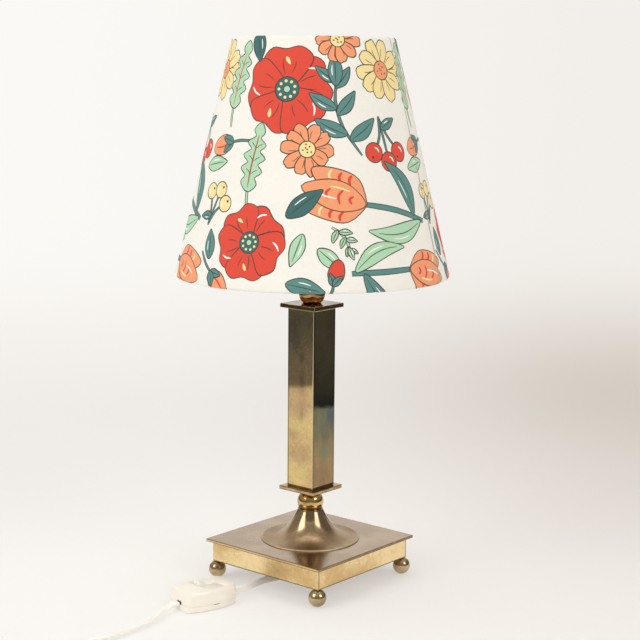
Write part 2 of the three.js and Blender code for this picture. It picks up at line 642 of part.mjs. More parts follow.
function buildCoil() {
  const count = Math.round(COIL_TURNS * COIL_STEPS);
  const middle = [];
  const start = coilAway(0);
  const end = coilAway(1);
  const first = coilPoint(0);
  const final = coilPoint(1);
  middle.push([first[0] - start[0] * FLEX_W, first[1] - start[1] * FLEX_W, first[2]]);
  for (let k = 0; k <= count; k += 1) middle.push(coilPoint(k / count));
  middle.push([final[0] + end[0] * FLEX_W, final[1] + end[1] * FLEX_W, final[2]]);
  const rings = middle.map((p, k) => {
    const a = middle[Math.max(0, k - 1)];
    const b = middle[Math.min(middle.length - 1, k + 1)];
    const size = Math.hypot(b[0] - a[0], b[1] - a[1]);
    const side = [(b[1] - a[1]) / size, (a[0] - b[0]) / size];
    const ring = [];
    for (let s = 0; s < COIL_SIDES; s += 1) {
      const t = s / COIL_SIDES * 2 * Math.PI;
      const across = FLEX_T / 2 * Math.sin(t);
      ring.push([p[0] + side[0] * across, p[1] + side[1] * across, p[2] + FLEX_W / 2 * Math.cos(t)]);
    }
    return ring;
  });
  let least = Infinity;
  middle.forEach((p, k) => {
    for (let j = k + COIL_NEXT_TURN; j < middle.length; j += 1) {
      const q = middle[j];
      const flat = Math.hypot(p[0] - q[0], p[1] - q[1]) - FLEX_T;
      const tall = Math.abs(p[2] - q[2]) - FLEX_W;
      least = Math.min(least, Math.max(flat, tall));
    }
  });
  console.log(`least gap between loops ${least.toFixed(2)} mm`);
  return loft(rings);
}

function buildTie() {
  const spread = COIL_PITCH * coilHalf;
  const inner = COIL_MEAN_R - spread / 2 - FLEX_T / 2 - TIE_GAP;
  const outer = COIL_MEAN_R + spread / 2 + FLEX_T / 2 + TIE_GAP;
  const low = COIL_Z - FLEX_W / 2 - TIE_GAP;
  const high = COIL_Z + COIL_LAYER + FLEX_W / 2 + TIE_GAP;
  const frame = (grow) => [[inner - grow, low - grow], [outer + grow, low - grow],
      [outer + grow, high + grow], [inner - grow, high + grow]];
  const shape = outline(frame(TIE_T));
  shape.holes.push(new THREE.Path(frame(0).reverse().map((p) => new THREE.Vector2(...p))));
  const band = new THREE.ExtrudeGeometry(shape, { depth: TIE_W, bevelEnabled: false });
  band.translate(0, 0, -TIE_W / 2).rotateX(Math.PI / 2).rotateZ(TIE_ANGLE * Math.PI / 180);
  piece("coil_tie", solid(band.translate(COIL_CENTRE[0], COIL_CENTRE[1], 0)), STEEL);
}

// A place on the switch, by distance from its plug end and across it.
function switchPoint(along, across) {
  const a = SWITCH_TURN * Math.PI / 180;
  return [
    SWITCH_PLACE[0] + along * Math.sin(a) + across * Math.cos(a),
    SWITCH_PLACE[1] + along * Math.cos(a) - across * Math.sin(a),
  ];
}

function switchPlan(inset, lean) {
  const near = SWITCH_PLAN.map(([share, half]) => [lean + inset + share * (SWITCH_L - lean - 2 * inset),
      half - inset]);
  const far = near.map((p) => [p[0], -p[1]]).reverse();
  return [...far, ...near];
}

const switchRing = (inset, z) => switchPlan(inset, SWITCH_LEAN * z / SWITCH_H).map((p) => [p[1], p[0], z]);

function buildSwitch() {
  const group = new THREE.Group();
  group.position.set(SWITCH_PLACE[0], SWITCH_PLACE[1], 0);
  group.rotation.z = -SWITCH_TURN * Math.PI / 180;
  lamp.add(group);
  const floor = SWITCH_BASE_Z + SWITCH_WALL;
  const roof = SWITCH_H - SWITCH_WALL;
  const lead = new THREE.CylinderGeometry(FLEX_W / 2 + FIT, FLEX_W / 2 + FIT, SWITCH_L + 2 * SWITCH_WALL,
      SEGMENTS_SMALL);
  const passage = solid(lead.translate(0, SWITCH_L / 2, LEAD_Z));
  const under = (radius, from, to) => CASE_SCREW_AT.map((y) =>
      rod(radius, to - from, from, SEGMENTS_SMALL).translate([0, y, 0]));
  let lower = loft([
    switchRing(SWITCH_EDGE, SWITCH_BASE_Z), switchRing(0, SWITCH_BASE_Z + SWITCH_EDGE),
        switchRing(0, SWITCH_SPLIT - SEAT),
  ]);
  lower = lower.subtract(loft([switchRing(SWITCH_WALL, floor),
      switchRing(SWITCH_WALL, SWITCH_SPLIT + FIT)])).subtract(passage);
  under(CASE_SCREW_R + FIT, 0, SWITCH_SPLIT).forEach((hole) => { lower = lower.subtract(hole); });
  under(CASE_SCREW_HEAD_R + FIT, 0, SWITCH_BASE_Z + CASE_SCREW_HEAD_T).forEach((hole) =>
      { lower = lower.subtract(hole); });
  piece("switch_lower_case", lower, CREAM, group);
  let upper = loft([
    switchRing(0, SWITCH_SPLIT), switchRing(SWITCH_DRAFT, SWITCH_H - SWITCH_CHAMFER[1]),
        switchRing(SWITCH_CHAMFER[0], SWITCH_H),
  ]);
  upper = upper.subtract(loft([switchRing(SWITCH_WALL, SWITCH_SPLIT - FIT),
      switchRing(SWITCH_WALL + 2 * SWITCH_DRAFT, roof)])).subtract(passage);
  const window = block(ROCKER_W + 4 * FIT, ROCKER_L + 4 * FIT, SWITCH_H, ROCKER_SIDE, ROCKER_AT, SWITCH_H);
  upper = upper.subtract(window);
  const posts = under(CASE_SCREW_HEAD_R, SWITCH_SPLIT - SEAT, roof + FIT);
  const bores = under(CASE_SCREW_R + FIT / 2, SWITCH_SPLIT - FIT, roof - SWITCH_WALL);
  posts.forEach((post, k) => { upper = upper.add(post.subtract(bores[k])); });
  const pinHalf = ROCKER_W / 2 + 2 * FIT + SWITCH_WALL;
  const cheekH = roof - PIN_Z + 2 * PIN_R + FIT;
  const cheekX = (ROCKER_W / 2 + 2 * FIT + pinHalf) / 2;
  const axle = (radius, half) => rod(radius, 2 * half, -half,
      SEGMENTS_SMALL).rotate([0, 90, 0]).translate([ROCKER_SIDE, ROCKER_AT, PIN_Z]);
  [-1, 1].forEach((side) => {
    upper = upper.add(block(SWITCH_WALL, 6 * PIN_R, cheekH, ROCKER_SIDE + side * cheekX, ROCKER_AT,
        roof + FIT - cheekH / 2));
  });
  upper = upper.subtract(axle(PIN_R + FIT / 2, pinHalf + FIT));
  piece("switch_upper_case", upper, CREAM, group);
  const half = ROCKER_L / 2;
  const top = SWITCH_H - PIN_Z;
  const side = outline([
    [-half, top + ROCKER_RISE - ROCKER_DIP], [-half, -ROCKER_DEPTH / 2], [0, -ROCKER_DEPTH],
        [half, -ROCKER_DEPTH / 2],
    [half, top + ROCKER_RISE - ROCKER_DIP], [0, top],
  ]);
  const wedge = new THREE.ExtrudeGeometry(side, { depth: ROCKER_W, bevelEnabled: false }).translate(0, 0,
      -ROCKER_W / 2);
  wedge.rotateX(Math.PI / 2).rotateZ(Math.PI / 2);
  wedge.rotateX(-ROCKER_TILT * Math.PI / 180).translate(ROCKER_SIDE, ROCKER_AT, PIN_Z);
  piece("switch_rocker", solid(wedge).subtract(axle(PIN_R + FIT / 2, pinHalf)), CREAM, group);
  piece("rocker_pin", axle(PIN_R, pinHalf), STEEL, group);
  CASE_SCREW_AT.forEach((y, k) => {
    const head = SWITCH_BASE_Z + CASE_SCREW_HEAD_T - FIT;
    const profile = [
      [0, SWITCH_BASE_Z], [CASE_SCREW_HEAD_R, SWITCH_BASE_Z], [CASE_SCREW_HEAD_R, head],
      [CASE_SCREW_R, head], [CASE_SCREW_R, roof - 2 * SWITCH_WALL], [0, roof - 2 * SWITCH_WALL],
    ];
    piece(`case_screw_${k + 1}`, turned(profile, SEGMENTS_SMALL), STEEL, group).position.y = y;
  });
  piece("switch_contact", block(CONTACT_W, CONTACT_L, CONTACT_PLATE_T, ROCKER_SIDE, ROCKER_AT,
      floor + SEAT + CONTACT_PLATE_T / 2), BRASS, group);
}

function buildPlug() {
  const group = new THREE.Group();
  group.position.set(PLUG_PLACE[0], PLUG_PLACE[1], PLUG_Z);
  group.rotation.z = PLUG_TURN * Math.PI / 180;
  lamp.add(group);
  const rings = PLUG_SECTIONS.map(([x, halfW, halfT]) => {
    const cw = halfT * PLUG_CORNER;
    const plan = [
      [halfW - cw, -halfT], [halfW, -halfT + cw], [halfW, halfT - cw], [halfW - cw, halfT],
      [-halfW + cw, halfT], [-halfW, halfT - cw], [-halfW, -halfT + cw], [-halfW + cw, -halfT],
    ];
    return plan.map(([y, z]) => [x, y, z]);
  });
  piece("plug_body", loft(rings), CREAM, group);
  const face = PLUG_SECTIONS[PLUG_SECTIONS.length - 1][0] + SEAT;
  const tip = PLUG_PIN_R / 2;
  [-1, 1].forEach((side) => {
    const profile = [
      [0, 0], [PLUG_PIN_R, 0], [PLUG_PIN_R, PLUG_PIN_L - tip], [PLUG_PIN_R - tip, PLUG_PIN_L],
          [0, PLUG_PIN_L],
    ];
    const pin = turned(profile, SEGMENTS_SMALL).rotate([0, 90, 0]);
    piece(side < 0 ? "plug_pin_1" : "plug_pin_2", pin, NICKEL, group).position.set(face,
        side * PIN_SPREAD, 0);
  });
}

buildBase();
buildStem();
buildHolder();
buildBulb();
buildCarrier();
buildShade();
buildSwitch();
buildLead();
buildPlug();

export default lamp;
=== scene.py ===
"""Looks of a brass table lamp with a printed fabric shade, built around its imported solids."""
import json
import math

import bmesh
import bpy
import numpy as np
from mathutils import Matrix, Vector
from mathutils.geometry import delaunay_2d_cdt, tessellate_polygon


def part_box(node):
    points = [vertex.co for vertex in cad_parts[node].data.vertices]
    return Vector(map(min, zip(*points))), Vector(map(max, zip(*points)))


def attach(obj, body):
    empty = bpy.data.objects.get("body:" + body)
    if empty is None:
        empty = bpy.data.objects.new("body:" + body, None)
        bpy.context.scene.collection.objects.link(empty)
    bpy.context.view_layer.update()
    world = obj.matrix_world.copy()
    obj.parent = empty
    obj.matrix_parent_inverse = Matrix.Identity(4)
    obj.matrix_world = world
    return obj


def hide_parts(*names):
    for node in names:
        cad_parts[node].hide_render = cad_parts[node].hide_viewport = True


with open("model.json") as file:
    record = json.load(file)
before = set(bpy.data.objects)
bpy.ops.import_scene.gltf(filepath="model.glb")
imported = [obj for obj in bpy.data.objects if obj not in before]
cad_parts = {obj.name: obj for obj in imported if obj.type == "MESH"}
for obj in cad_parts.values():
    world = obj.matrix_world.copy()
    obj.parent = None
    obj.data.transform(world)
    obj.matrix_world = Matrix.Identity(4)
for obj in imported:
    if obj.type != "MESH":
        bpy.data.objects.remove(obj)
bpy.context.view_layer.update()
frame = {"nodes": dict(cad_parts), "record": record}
nodes = frame["nodes"]

# Lengths below are millimetres, as in the part's source
MM = 0.001
STAND, SHADE, CARRIER, BULB, ROCKER = "stand", "shade", "carrier", "bulb", "rocker"
FULL_TURN = 2 * math.pi
QUARTER = math.pi / 2

# Camera, in metres
LENS_MM = 85.78
SENSOR_MM = 36
CAMERA_AT = Vector((0.8577, -1.0042, 0.447))
CAMERA_AHEAD = Vector((-0.63699, 0.75404, -0.16023))
CAMERA_ROLL = math.radians(0.5)

# Directions in the room, seen from the camera
AHEAD = Vector((-0.6453, 0.7639, 0))
RIGHT = Vector((0.7639, 0.6453, 0))
UP = Vector((0, 0, 1))


def put(name, data):
    """New object in the scene."""
    made = bpy.data.objects.new(name, data)
    bpy.context.collection.objects.link(made)
    return made


def make_camera():
    data = bpy.data.cameras.new("camera")
    data.lens, data.sensor_width = LENS_MM, SENSOR_MM
    back = -CAMERA_AHEAD.normalized()
    right = UP.cross(back).normalized()
    up = back.cross(right)
    cosine, sine = math.cos(CAMERA_ROLL), math.sin(CAMERA_ROLL)
    axes = Matrix((right * cosine + up * sine, up * cosine - right * sine, back)).transposed()
    camera = put("camera", data)
    camera.matrix_world = Matrix.Translation(CAMERA_AT) @ axes.to_4x4()
    bpy.context.scene.camera = camera


make_camera()


# Node trees

class Graph:
    """A node tree, with short ways to add nodes; most give the first output of the new node."""

    def __init__(self, tree):
        self.tree = tree

    def feed(self, socket, value):
        """Sets an input, or links it where the value is another node's output."""
        if isinstance(value, bpy.types.NodeSocket):
            self.tree.links.new(value, socket)
        else:
            socket.default_value = value

    def add(self, kind, inputs, **settings):
        """All outputs of a new node."""
        made = self.tree.nodes.new(kind)
        for name, value in settings.items():
            setattr(made, name, value)
        for name, value in inputs.items():
            self.feed(made.inputs[name], value)
        return made.outputs

    def calc(self, operation, *values, clamp=False):
        inputs = dict(enumerate(values))
        return self.add("ShaderNodeMath", inputs, operation=operation, use_clamp=clamp)[0]

    def plus(self, first, second):
        return self.calc("ADD", first, second)

    def minus(self, first, second):
        return self.calc("SUBTRACT", first, second)

    def times(self, first, second):
        return self.calc("MULTIPLY", first, second)

    def times_plus(self, first, second, third):
        return self.calc("MULTIPLY_ADD", first, second, third)

    def vector(self, operation, *values):
        """Both outputs of vector arithmetic."""
        return self.add("ShaderNodeVectorMath", dict(enumerate(values)), operation=operation)

    def xyz(self, **parts):
        return self.add("ShaderNodeCombineXYZ", parts)[0]

    def blend(self, share, first, second, kind="MIX"):
        """Mix of two colours."""
        inputs = {0: share, 6: first, 7: second}
        return self.add("ShaderNodeMix", inputs, data_type="RGBA", blend_type=kind)[2]

    def ramp(self, value, low, high, to_low=0.0, to_high=1.0):
        inputs = {"Value": value, "From Min": low, "From Max": high, "To Min": to_low, "To Max": to_high}
        return self.add("ShaderNodeMapRange", inputs, interpolation_type="SMOOTHSTEP")[0]

    def noise(self, place, scale, detail=4.0, rough=0.55):
        inputs = {"Vector": place, "Scale": scale, "Detail": detail, "Roughness": rough}
        return self.add("ShaderNodeTexNoise", inputs)[0]

    def bump(self, height, strength, distance, **normal):
        inputs = {"Height": height, "Strength": strength, "Distance": distance, **normal}
        return self.add("ShaderNodeBump", inputs)[0]

    def mapped(self, place, **change):
        return self.add("ShaderNodeMapping", {"Vector": place, **change})[0]

    def place(self, scale=(1, 1, 1)):
        """Place on the piece itself."""
        return self.mapped(self.add("ShaderNodeTexCoord", {})["Object"], Scale=scale)

    def attribute(self, name, output="Fac"):
        return self.add("ShaderNodeAttribute", {}, attribute_name=name)[output]

    def shape(self, kind, **inputs):
        """New geometry node; an underscore in an input's name stands for a space."""
        named = {name.replace("_", " "): value for name, value in inputs.items()}
        return self.add(f"GeometryNode{kind}", named)[0]

    def raised(self, points, height):
        return self.shape("SetPosition", Geometry=points, Offset=self.xyz(Z=height))

    def copies(self, points, thing, count):
        """A copy of a thing at each point, turned by equal steps about the upright axis."""
        step = self.calc("DIVIDE", FULL_TURN, count)
        facing = self.xyz(Z=self.times(self.shape("InputIndex"), step))
        return self.shape("InstanceOnPoints", Points=points, Instance=thing, Rotation=facing)


class Finish(Graph):
    """New material with a Principled shader."""

    def __init__(self, name, **values):
        self.material = bpy.data.materials.new(name)
        self.material.use_nodes = True
        super().__init__(self.material.node_tree)
        self.shader = self.tree.nodes["Principled BSDF"]
        self.dress(**values)

    def dress(self, **values):
        """Feeds the shader; an underscore in an input's name stands for a space."""
        for name, value in values.items():
            self.feed(self.shader.inputs[name.replace("_", " ")], value)
        return self.material

    def surface(self, shader):
        """Puts another shader on the surface."""
        self.feed(self.tree.nodes["Material Output"].inputs["Surface"], shader)
        return self.material


def colour(code):
    """Linear colour of a hexadecimal screen colour."""
    parts = [int(code[i:i + 2], 16) / 255 for i in (0, 2, 4)]
    return [(c / 12.92 if c <= 0.04045 else ((c + 0.055) / 1.055) ** 2.4) for c in parts] + [1.0]


# Finishes
WORN_BRASS = colour("E8D6AE")
SLUB_TINT = colour("C9BFAE")
FINE = 0.0002


def aged_brass(name, clean, stain, cover, gloss, cloud=30.0, film=None, edge=0.6, wavy=0.1):
    """Polished brass under a soft mottled tarnish, paler along its worn edges and hazy where dull."""
    f = Finish(name, Metallic=1.0)
    place = f.place()
    patches = f.noise(place, cloud, 4.0, 0.5)
    specks = f.noise(place, cloud * 11, 4.0, 0.65)
    mask = f.times_plus(specks, 0.25, f.times(patches, 0.75))
    centre, spread = 0.66 - 0.3 * cover, 0.14
    stained = f.ramp(mask, centre - spread, centre + spread)
    tint = f.blend(stained, colour(clean), colour(stain))
    for label, shade in (film or {}).items():
        mottled = f.ramp(f.noise(f.place((1, 1, 0.35)), 95.0, 3.0), 0.3, 0.65, 0.72, 1.0)
        tint = f.blend(f.times(f.attribute(label), mottled), tint, shade)
    worn = f.times(f.attribute("wear"), f.ramp(specks, 0.25, 0.6, 0.35 * edge, edge))
    smear = f.noise(f.place((1, 1, 4)), 60.0, 5.0, 0.7)
    haze = f.plus(f.ramp(stained, 0.0, 1.0, *gloss), f.ramp(smear, 0.35, 0.75, -0.01, 0.02))
    haze = f.times_plus(f.attribute("dull"), 0.3, haze)
    bloom = f.times(f.attribute("bloom"), f.ramp(patches, 0.3, 0.6, 0.3, 1.0))
    waves = f.bump(f.noise(place, 46.0, 2.0, 0.4), wavy, 2 * FINE)
    return f.dress(Base_Color=f.blend(worn, tint, WORN_BRASS), Metallic=f.times_plus(bloom, -0.16, 1.0),
                   Roughness=f.times_plus(worn, 0.16, haze),
                   Normal=f.bump(f.noise(place, 1500.0, 3.0), 0.02, FINE, Normal=waves))


def plain_metal(name, tint, rough):
    """Plated metal with a fine grain."""
    f = Finish(name, Metallic=1.0)
    grain = f.noise(f.place(), 420.0, 5.0, 0.6)
    bright = colour(tint)
    dim = [c * 0.82 for c in bright[:3]] + [1]
    return f.dress(Base_Color=f.blend(f.ramp(grain, 0.3, 0.7), bright, dim),
                   Roughness=f.ramp(grain, 0.2, 0.8, rough * 0.75, rough * 1.3),
                   Normal=f.bump(grain, 0.08, FINE))


def moulded(name, tint, rough, grime, grain=700.0):
    """Moulded plastic, porcelain or paint with a fine skin and faint grime."""
    f = Finish(name)
    place = f.place()
    cloud = f.noise(place, 38.0, 4.0, 0.6)
    return f.dress(Base_Color=f.blend(f.ramp(cloud, 0.45, 0.8, 0.0, 0.6), colour(tint), colour(grime)),
                   Roughness=f.ramp(cloud, 0.2, 0.8, rough * 0.8, rough * 1.25),
                   Normal=f.bump(f.noise(place, grain, 3.0), 0.1, FINE))


def woven(name, pitch, rough, tint=None):
    """Plain weave on the piece's flat cut, printed from its colours where it has no tint of its own."""
    f = Finish(name, Roughness=rough, Sheen_Weight=0.12, Sheen_Roughness=0.5, Specular_IOR_Level=0.2)
    flat = f.add("ShaderNodeUVMap", {}, uv_map="cut")[0]
    wave = {"Scale": 1 / (pitch * MM) / FULL_TURN * 2, "Distortion": 0.6, "Detail": 1.0}
    threads = []
    for turn in (0, QUARTER):
        lay = f.mapped(flat, Rotation=(0, 0, turn))
        threads.append(f.add("ShaderNodeTexWave", {"Vector": lay, **wave})["Fac"])
    slub = f.noise(f.mapped(flat, Scale=(1, 6, 1)), 260.0, 4.0)
    base = f.attribute("print", "Color") if tint is None else colour(tint)
    creases = f.bump(f.noise(flat, 22.0, 2.0), 0.12, 10 * FINE)
    weave = f.plus(f.calc("MAXIMUM", *threads), slub)
    return f.dress(Base_Color=f.blend(f.ramp(slub, 0.35, 0.75, 0.0, 0.1), base, SLUB_TINT, "MULTIPLY"),
                   Normal=f.bump(weave, 0.16, FINE, Normal=creases))


# Films over the brass, painted on some pieces: tarnish, stains and rubbed lines, and dark lines and darker sides
# that are painted shade
PLATE_FILMS = {"rubbed": colour("E6CD98"), "grime": colour("745A42")}
SKIRT_FILMS = {"grime": colour("54402C")}
SQUARE_FILMS = {"grime": colour("5A4632")}
# On the column, the two right-side tarnish films and the dark lines beside the edges also serve as painted shade
COLUMN_FILMS = {
    "bluing_and_shade": (0.14, 0.146, 0.1, 1), "blush_and_shade": (0.31, 0.205, 0.115, 1), "blue_stain": (0.11, 0.15, 0.17, 1),
    "green_stain": (0.2, 0.27, 0.17, 1), "smudge_and_shade": (0.12, 0.105, 0.065, 1),
}
BRASS_PLATE = aged_brass("plate_brass", "BCA68E", "AC967E", 0.6, (0.15, 0.2), 30.0, PLATE_FILMS, 0.3)
BRASS_SKIRT = aged_brass("skirt_brass", "F9E1AE", "DDBB82", 0.4, (0.24, 0.34), 24.0, SKIRT_FILMS, 0.7, 0.6)
BRASS_FOOT = aged_brass("flared_brass", "B39C7B", "967D60", 0.55, (0.08, 0.14), edge=0.85)
BRASS_BALL = aged_brass("ball_brass", "D0B992", "A38D69", 0.5, (0.16, 0.26), 60.0)
BRASS_KNOP = aged_brass("knop_brass", "DDBF84", "AF8E58", 0.35, (0.1, 0.2), 70.0)
# A darker copy of the knop's brass: painted shade for the upper knop under the lampshade
BRASS_SHADED_KNOP = aged_brass("shaded_knop_brass", "C0976A", "8C6A4A", 0.5, (0.1, 0.2), 70.0)
BRASS_COLUMN = aged_brass("column_brass", "DEC687", "BB9B75", 0.5, (0.025, 0.05), 30.0, COLUMN_FILMS, 0.5)
BRASS_SQUARE = aged_brass("square_plate_brass", "CDB187", "A0865F", 0.5, (0.1, 0.18), 60.0, SQUARE_FILMS, 0.0)
# A darker copy of the square plates' brass: painted shade for the upper plate under the lampshade
BRASS_SHADED_SQUARE = aged_brass("shaded_square_brass", "A58A68", "755E46", 0.55, (0.08, 0.14), 60.0, edge=0.1)
BRASS_HOLDER = aged_brass("lampholder_brass", "D9B672", "AE8A4E", 0.3, (0.2, 0.34), 50.0)
STEEL = plain_metal("plated_steel", "A9A9A6", 0.34)
NICKEL = plain_metal("nickel_plate", "CFCBC2", 0.22)
PORCELAIN = moulded("porcelain", "E9E5DC", 0.22, "DAD4C8")
WHITE_WIRE = moulded("white_wire_coat", "DEDBD4", 0.4, "C8C3B8")
CREAM = moulded("cream_plastic", "FAF4E7", 0.34, "F4EBD9")
WHITE_PLASTIC = moulded("white_plastic", "F8F5EC", 0.3, "EEE8DA")
PVC = moulded("flex_pvc", "FEFCF6", 0.42, "F6F1E7")
# Painted shade for the openings of the switch
RECESS_SHADE = moulded("painted_recess_shade", "3A3631", 0.6, "2B2825")
TIE = moulded("tie_plastic", "2B2A29", 0.5, "3A3937")
OPAL = moulded("opal_glass", "F4F1EA", 0.22, "ECE8DF", 300.0)
PRINTED = woven("printed_cotton", 0.5, 0.85)
LINING = woven("shade_lining", 0.35, 0.6, "F6F4EE")


# Meshes

def span(name):
    """Lowest and highest corner of a node, in millimetres."""
    low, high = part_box(name)
    return np.array(low) / MM, np.array(high) / MM


def shown(mesh, body, slot, *stands_for):
    """Puts a mesh in the scene as a piece of a body, in place of some nodes."""
    made = put(mesh.name, mesh)
    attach(made, body)
    if stands_for:
        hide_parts(*stands_for)
    return made


def settle(mesh):
    """Joins doubled corners, turns the faces outward and shades them smoothly."""
    work = bmesh.new()
    work.from_mesh(mesh)
    bmesh.ops.remove_doubles(work, verts=work.verts, dist=1e-7)
    bmesh.ops.recalc_face_normals(work, faces=work.faces)
    work.to_mesh(mesh)
    work.free()
    mesh.shade_smooth()
    return mesh


def meshed(name, points, faces, material, **painted):
    """Closed mesh of millimetre points, with values painted on them."""
    mesh = bpy.data.meshes.new(name)
    mesh.from_pydata([tuple(p) for p in np.asarray(points, float).reshape(-1, 3) * MM], [], faces)
    for label, values in painted.items():
        layer = mesh.attributes.new(label, "FLOAT", "POINT")
        layer.data.foreach_set("value", np.asarray(values, np.float32).ravel())
    mesh.materials.append(material)
    return settle(mesh)


def joined(name, *meshes):
    """One mesh of several with the same material."""
    work = bmesh.new()
    for mesh in meshes:
        work.from_mesh(mesh)
    whole = bpy.data.meshes.new(name)
    work.to_mesh(whole)
    work.free()
    whole.materials.append(meshes[0].materials[0])
    whole.shade_smooth()
    return whole


def bearings(count):
    """Evenly spaced angles of a full turn."""
    return np.arange(count) * FULL_TURN / count


def oblong(left, right, low, high):
    return [(left, low), (right, low), (right, high), (left, high)]


def stacked(side, *heights):
    return [(side, z) for z in heights]


def soften(corners, radius, steps=4, reach=6.0, fall=1.2, sharp=0.35):
    """Closed profile with rounded corners and short steps; each row is x, z and how worn that edge is."""
    p = np.asarray(corners, float)
    rows = []
    for i, here in enumerate(p):
        before, after = p[i - 1] - here, p[(i + 1) % len(p)] - here
        far, near = np.linalg.norm(before), np.linalg.norm(after)
        before, after = before / far, after / near
        bend = math.pi - math.acos(np.clip(before @ after, -1, 1))
        if bend < sharp:
            rows.append((*here, 0.0))
            continue
        trim = min(radius * math.tan(bend / 2), 0.4 * far, 0.4 * near)
        out = float(after[0] * before[1] - after[1] * before[0] > 0)
        start, end = here + before * trim, here + after * trim
        rows.append((*(start + before * min(fall, 0.3 * (far - 2 * trim))), 0.0))
        for t in np.linspace(0, 1, steps + 1):
            spot = (1 - t) ** 2 * start + 2 * t * (1 - t) * here + t ** 2 * end
            rows.append((*spot, out * (0.2 + 3.2 * t * (1 - t))))
        rows.append((*(end + after * min(fall, 0.3 * (near - 2 * trim))), 0.0))
    full = []
    for i, row in enumerate(rows):
        following = np.array(rows[(i + 1) % len(rows)])
        row = np.array(row)
        count = max(1, math.ceil(np.linalg.norm(following[:2] - row[:2]) / reach))
        full += [row + (following - row) * k / count for k in range(count)]
    return np.array(full)


def ring_faces(levels, around, closed, first=0):
    """Quads between rings of corners, one after the other."""
    faces = []
    for i in range(levels if closed else levels - 1):
        low, high = first + i * around, first + (i + 1) % levels * around
        for j in range(around):
            k = (j + 1) % around
            faces.append((low + j, low + k, high + k, high + j))
    return faces


def turned(name, profile, material, around=96, lift=0.0):
    """Solid of revolution of a closed profile."""
    rows = np.asarray(profile, float)
    angle = bearings(around)
    x, y = rows[:, :1] * np.cos(angle), rows[:, :1] * np.sin(angle)
    z = np.repeat(rows[:, 1:2] + lift, around, 1)
    painted = {"wear": np.repeat(rows[:, 2], around)} if rows.shape[1] > 2 else {}
    return meshed(name, np.stack([x, y, z], -1), ring_faces(len(rows), around, True), material, **painted)


SIDE_STEPS = 13
CORNER_WEAR = {22.5: 0.7, 45: 1.0, 67.5: 0.7}
CORNER_FALL = 0.7


def square_ring(half, corner):
    """Rounded square, counter-clockwise, with the wear of its four corners."""
    corner = min(corner, 0.3 * half)
    flat = half - corner
    fall = min(CORNER_FALL, 0.1 * flat)
    beside = flat - 2 * fall
    ways = [fall - flat, *np.linspace(-beside, beside, SIDE_STEPS), flat - fall]
    quarter = [(half, -flat, 0.3), *[(half, y, 0.0) for y in ways], (half, flat, 0.3)]
    for degrees, worn in CORNER_WEAR.items():
        a = math.radians(degrees)
        quarter.append((flat + corner * math.cos(a), flat + corner * math.sin(a), worn))
    rows = []
    for turn in range(4):
        c, s = round(math.cos(turn * QUARTER)), round(math.sin(turn * QUARTER))
        rows += [(x * c - y * s, x * s + y * c, w) for x, y, w in quarter]
    return np.array(rows)


def squared(name, profile, material, corner, **paint):
    """Solid with a square plan around a closed profile of half sides and heights, painted by some laws."""
    widest = profile[:, 0].max()
    points, wear = [], []
    for half, z, worn in profile:
        ring = square_ring(half, corner)
        points.append(np.column_stack([ring[:, :2], np.full(len(ring), z)]))
        wear.append(np.maximum(worn, ring[:, 2] * (half > widest - 0.3)))
    points = np.array(points)
    painted = {label: law(points.reshape(-1, 3)) for label, law in paint.items()}
    faces = ring_faces(len(profile), points.shape[1], True)
    return meshed(name, points, faces, material, **painted, wear=wear)


def lofted(name, rings, material):
    """Closed solid through rings with the same number of corners."""
    around = len(rings[0])
    faces = ring_faces(len(rings), around, False)
    last = (len(rings) - 1) * around
    faces += [tuple(range(around))[::-1], tuple(range(last, last + around))]
    return meshed(name, rings, faces, material)


def grown(name, build, material, lengths, values, base=None):
    """Plain mesh of a geometry node tree; its named inputs are lengths in millimetres and other values."""
    sizes = {label: length * MM for label, length in lengths.items()} | values
    tree = bpy.data.node_groups.new(name, "GeometryNodeTree")
    side = tree.interface
    side.new_socket("Geometry", in_out="INPUT", socket_type="NodeSocketGeometry")
    for label, value in sizes.items():
        kind = "NodeSocketInt" if isinstance(value, int) else "NodeSocketFloat"
        side.new_socket(label, in_out="INPUT", socket_type=kind)
    side.new_socket("Geometry", in_out="OUTPUT", socket_type="NodeSocketGeometry")
    g = Graph(tree)
    real = g.shape("RealizeInstances", Geometry=build(g, g.add("NodeGroupInput", {})))
    skin = g.shape("SetShadeSmooth", Geometry=real)
    g.add("NodeGroupOutput", {"Geometry": g.shape("SetMaterial", Geometry=skin, Material=material)})
    start = base or bpy.data.meshes.new(name)
    holder = put(name, start)
    modifier = holder.modifiers.new("shape", "NODES")
    modifier.node_group = tree
    for item in side.items_tree:
        if item.in_out == "INPUT" and item.name in sizes:
            modifier[item.identifier] = sizes[item.name]
    ready = bpy.context.evaluated_depsgraph_get()
    mesh = bpy.data.meshes.new_from_object(holder.evaluated_get(ready))
    bpy.data.objects.remove(holder)
    bpy.data.meshes.remove(start)
    mesh.name = name
    return mesh


def walled(piece, thickness):
    """Gives an open skin a wall on its inner side."""
    wall = piece.modifiers.new("wall", "SOLIDIFY")
    wall.thickness, wall.offset = thickness * MM, -1
    return piece


def smooth(points, per=4, closed=True):
    """Rounded curve through points, flat or in space."""
    p = np.asarray(points, float)
    n = len(p)
    rows = []
    for i in range(n if closed else n - 1):
        pick = [(i + k - 1) % n if closed else min(max(i + k - 1, 0), n - 1) for k in range(4)]
        a, b, c, d = p[pick]
        square, cube = 2 * a - 5 * b + 4 * c - d, 3 * b - a - 3 * c + d
        rows += [0.5 * (2 * b + (c - a) * t + square * t ** 2 + cube * t ** 3) for t in np.arange(per) / per]
    if not closed:
        rows.append(p[-1])
    return np.array(rows)


def swung(x, y, angle):
    """Flat places turned about the origin."""
    c, s = math.cos(angle), math.sin(angle)
    return x * c - y * s, x * s + y * c


def set_down(at, turn, x, y, z):
    """Points of a thing that lies turned on the floor, by their places on the thing."""
    x, y = swung(x, y, turn)
    return np.stack(np.broadcast_arrays(at[0] + x, at[1] + y, z), -1)


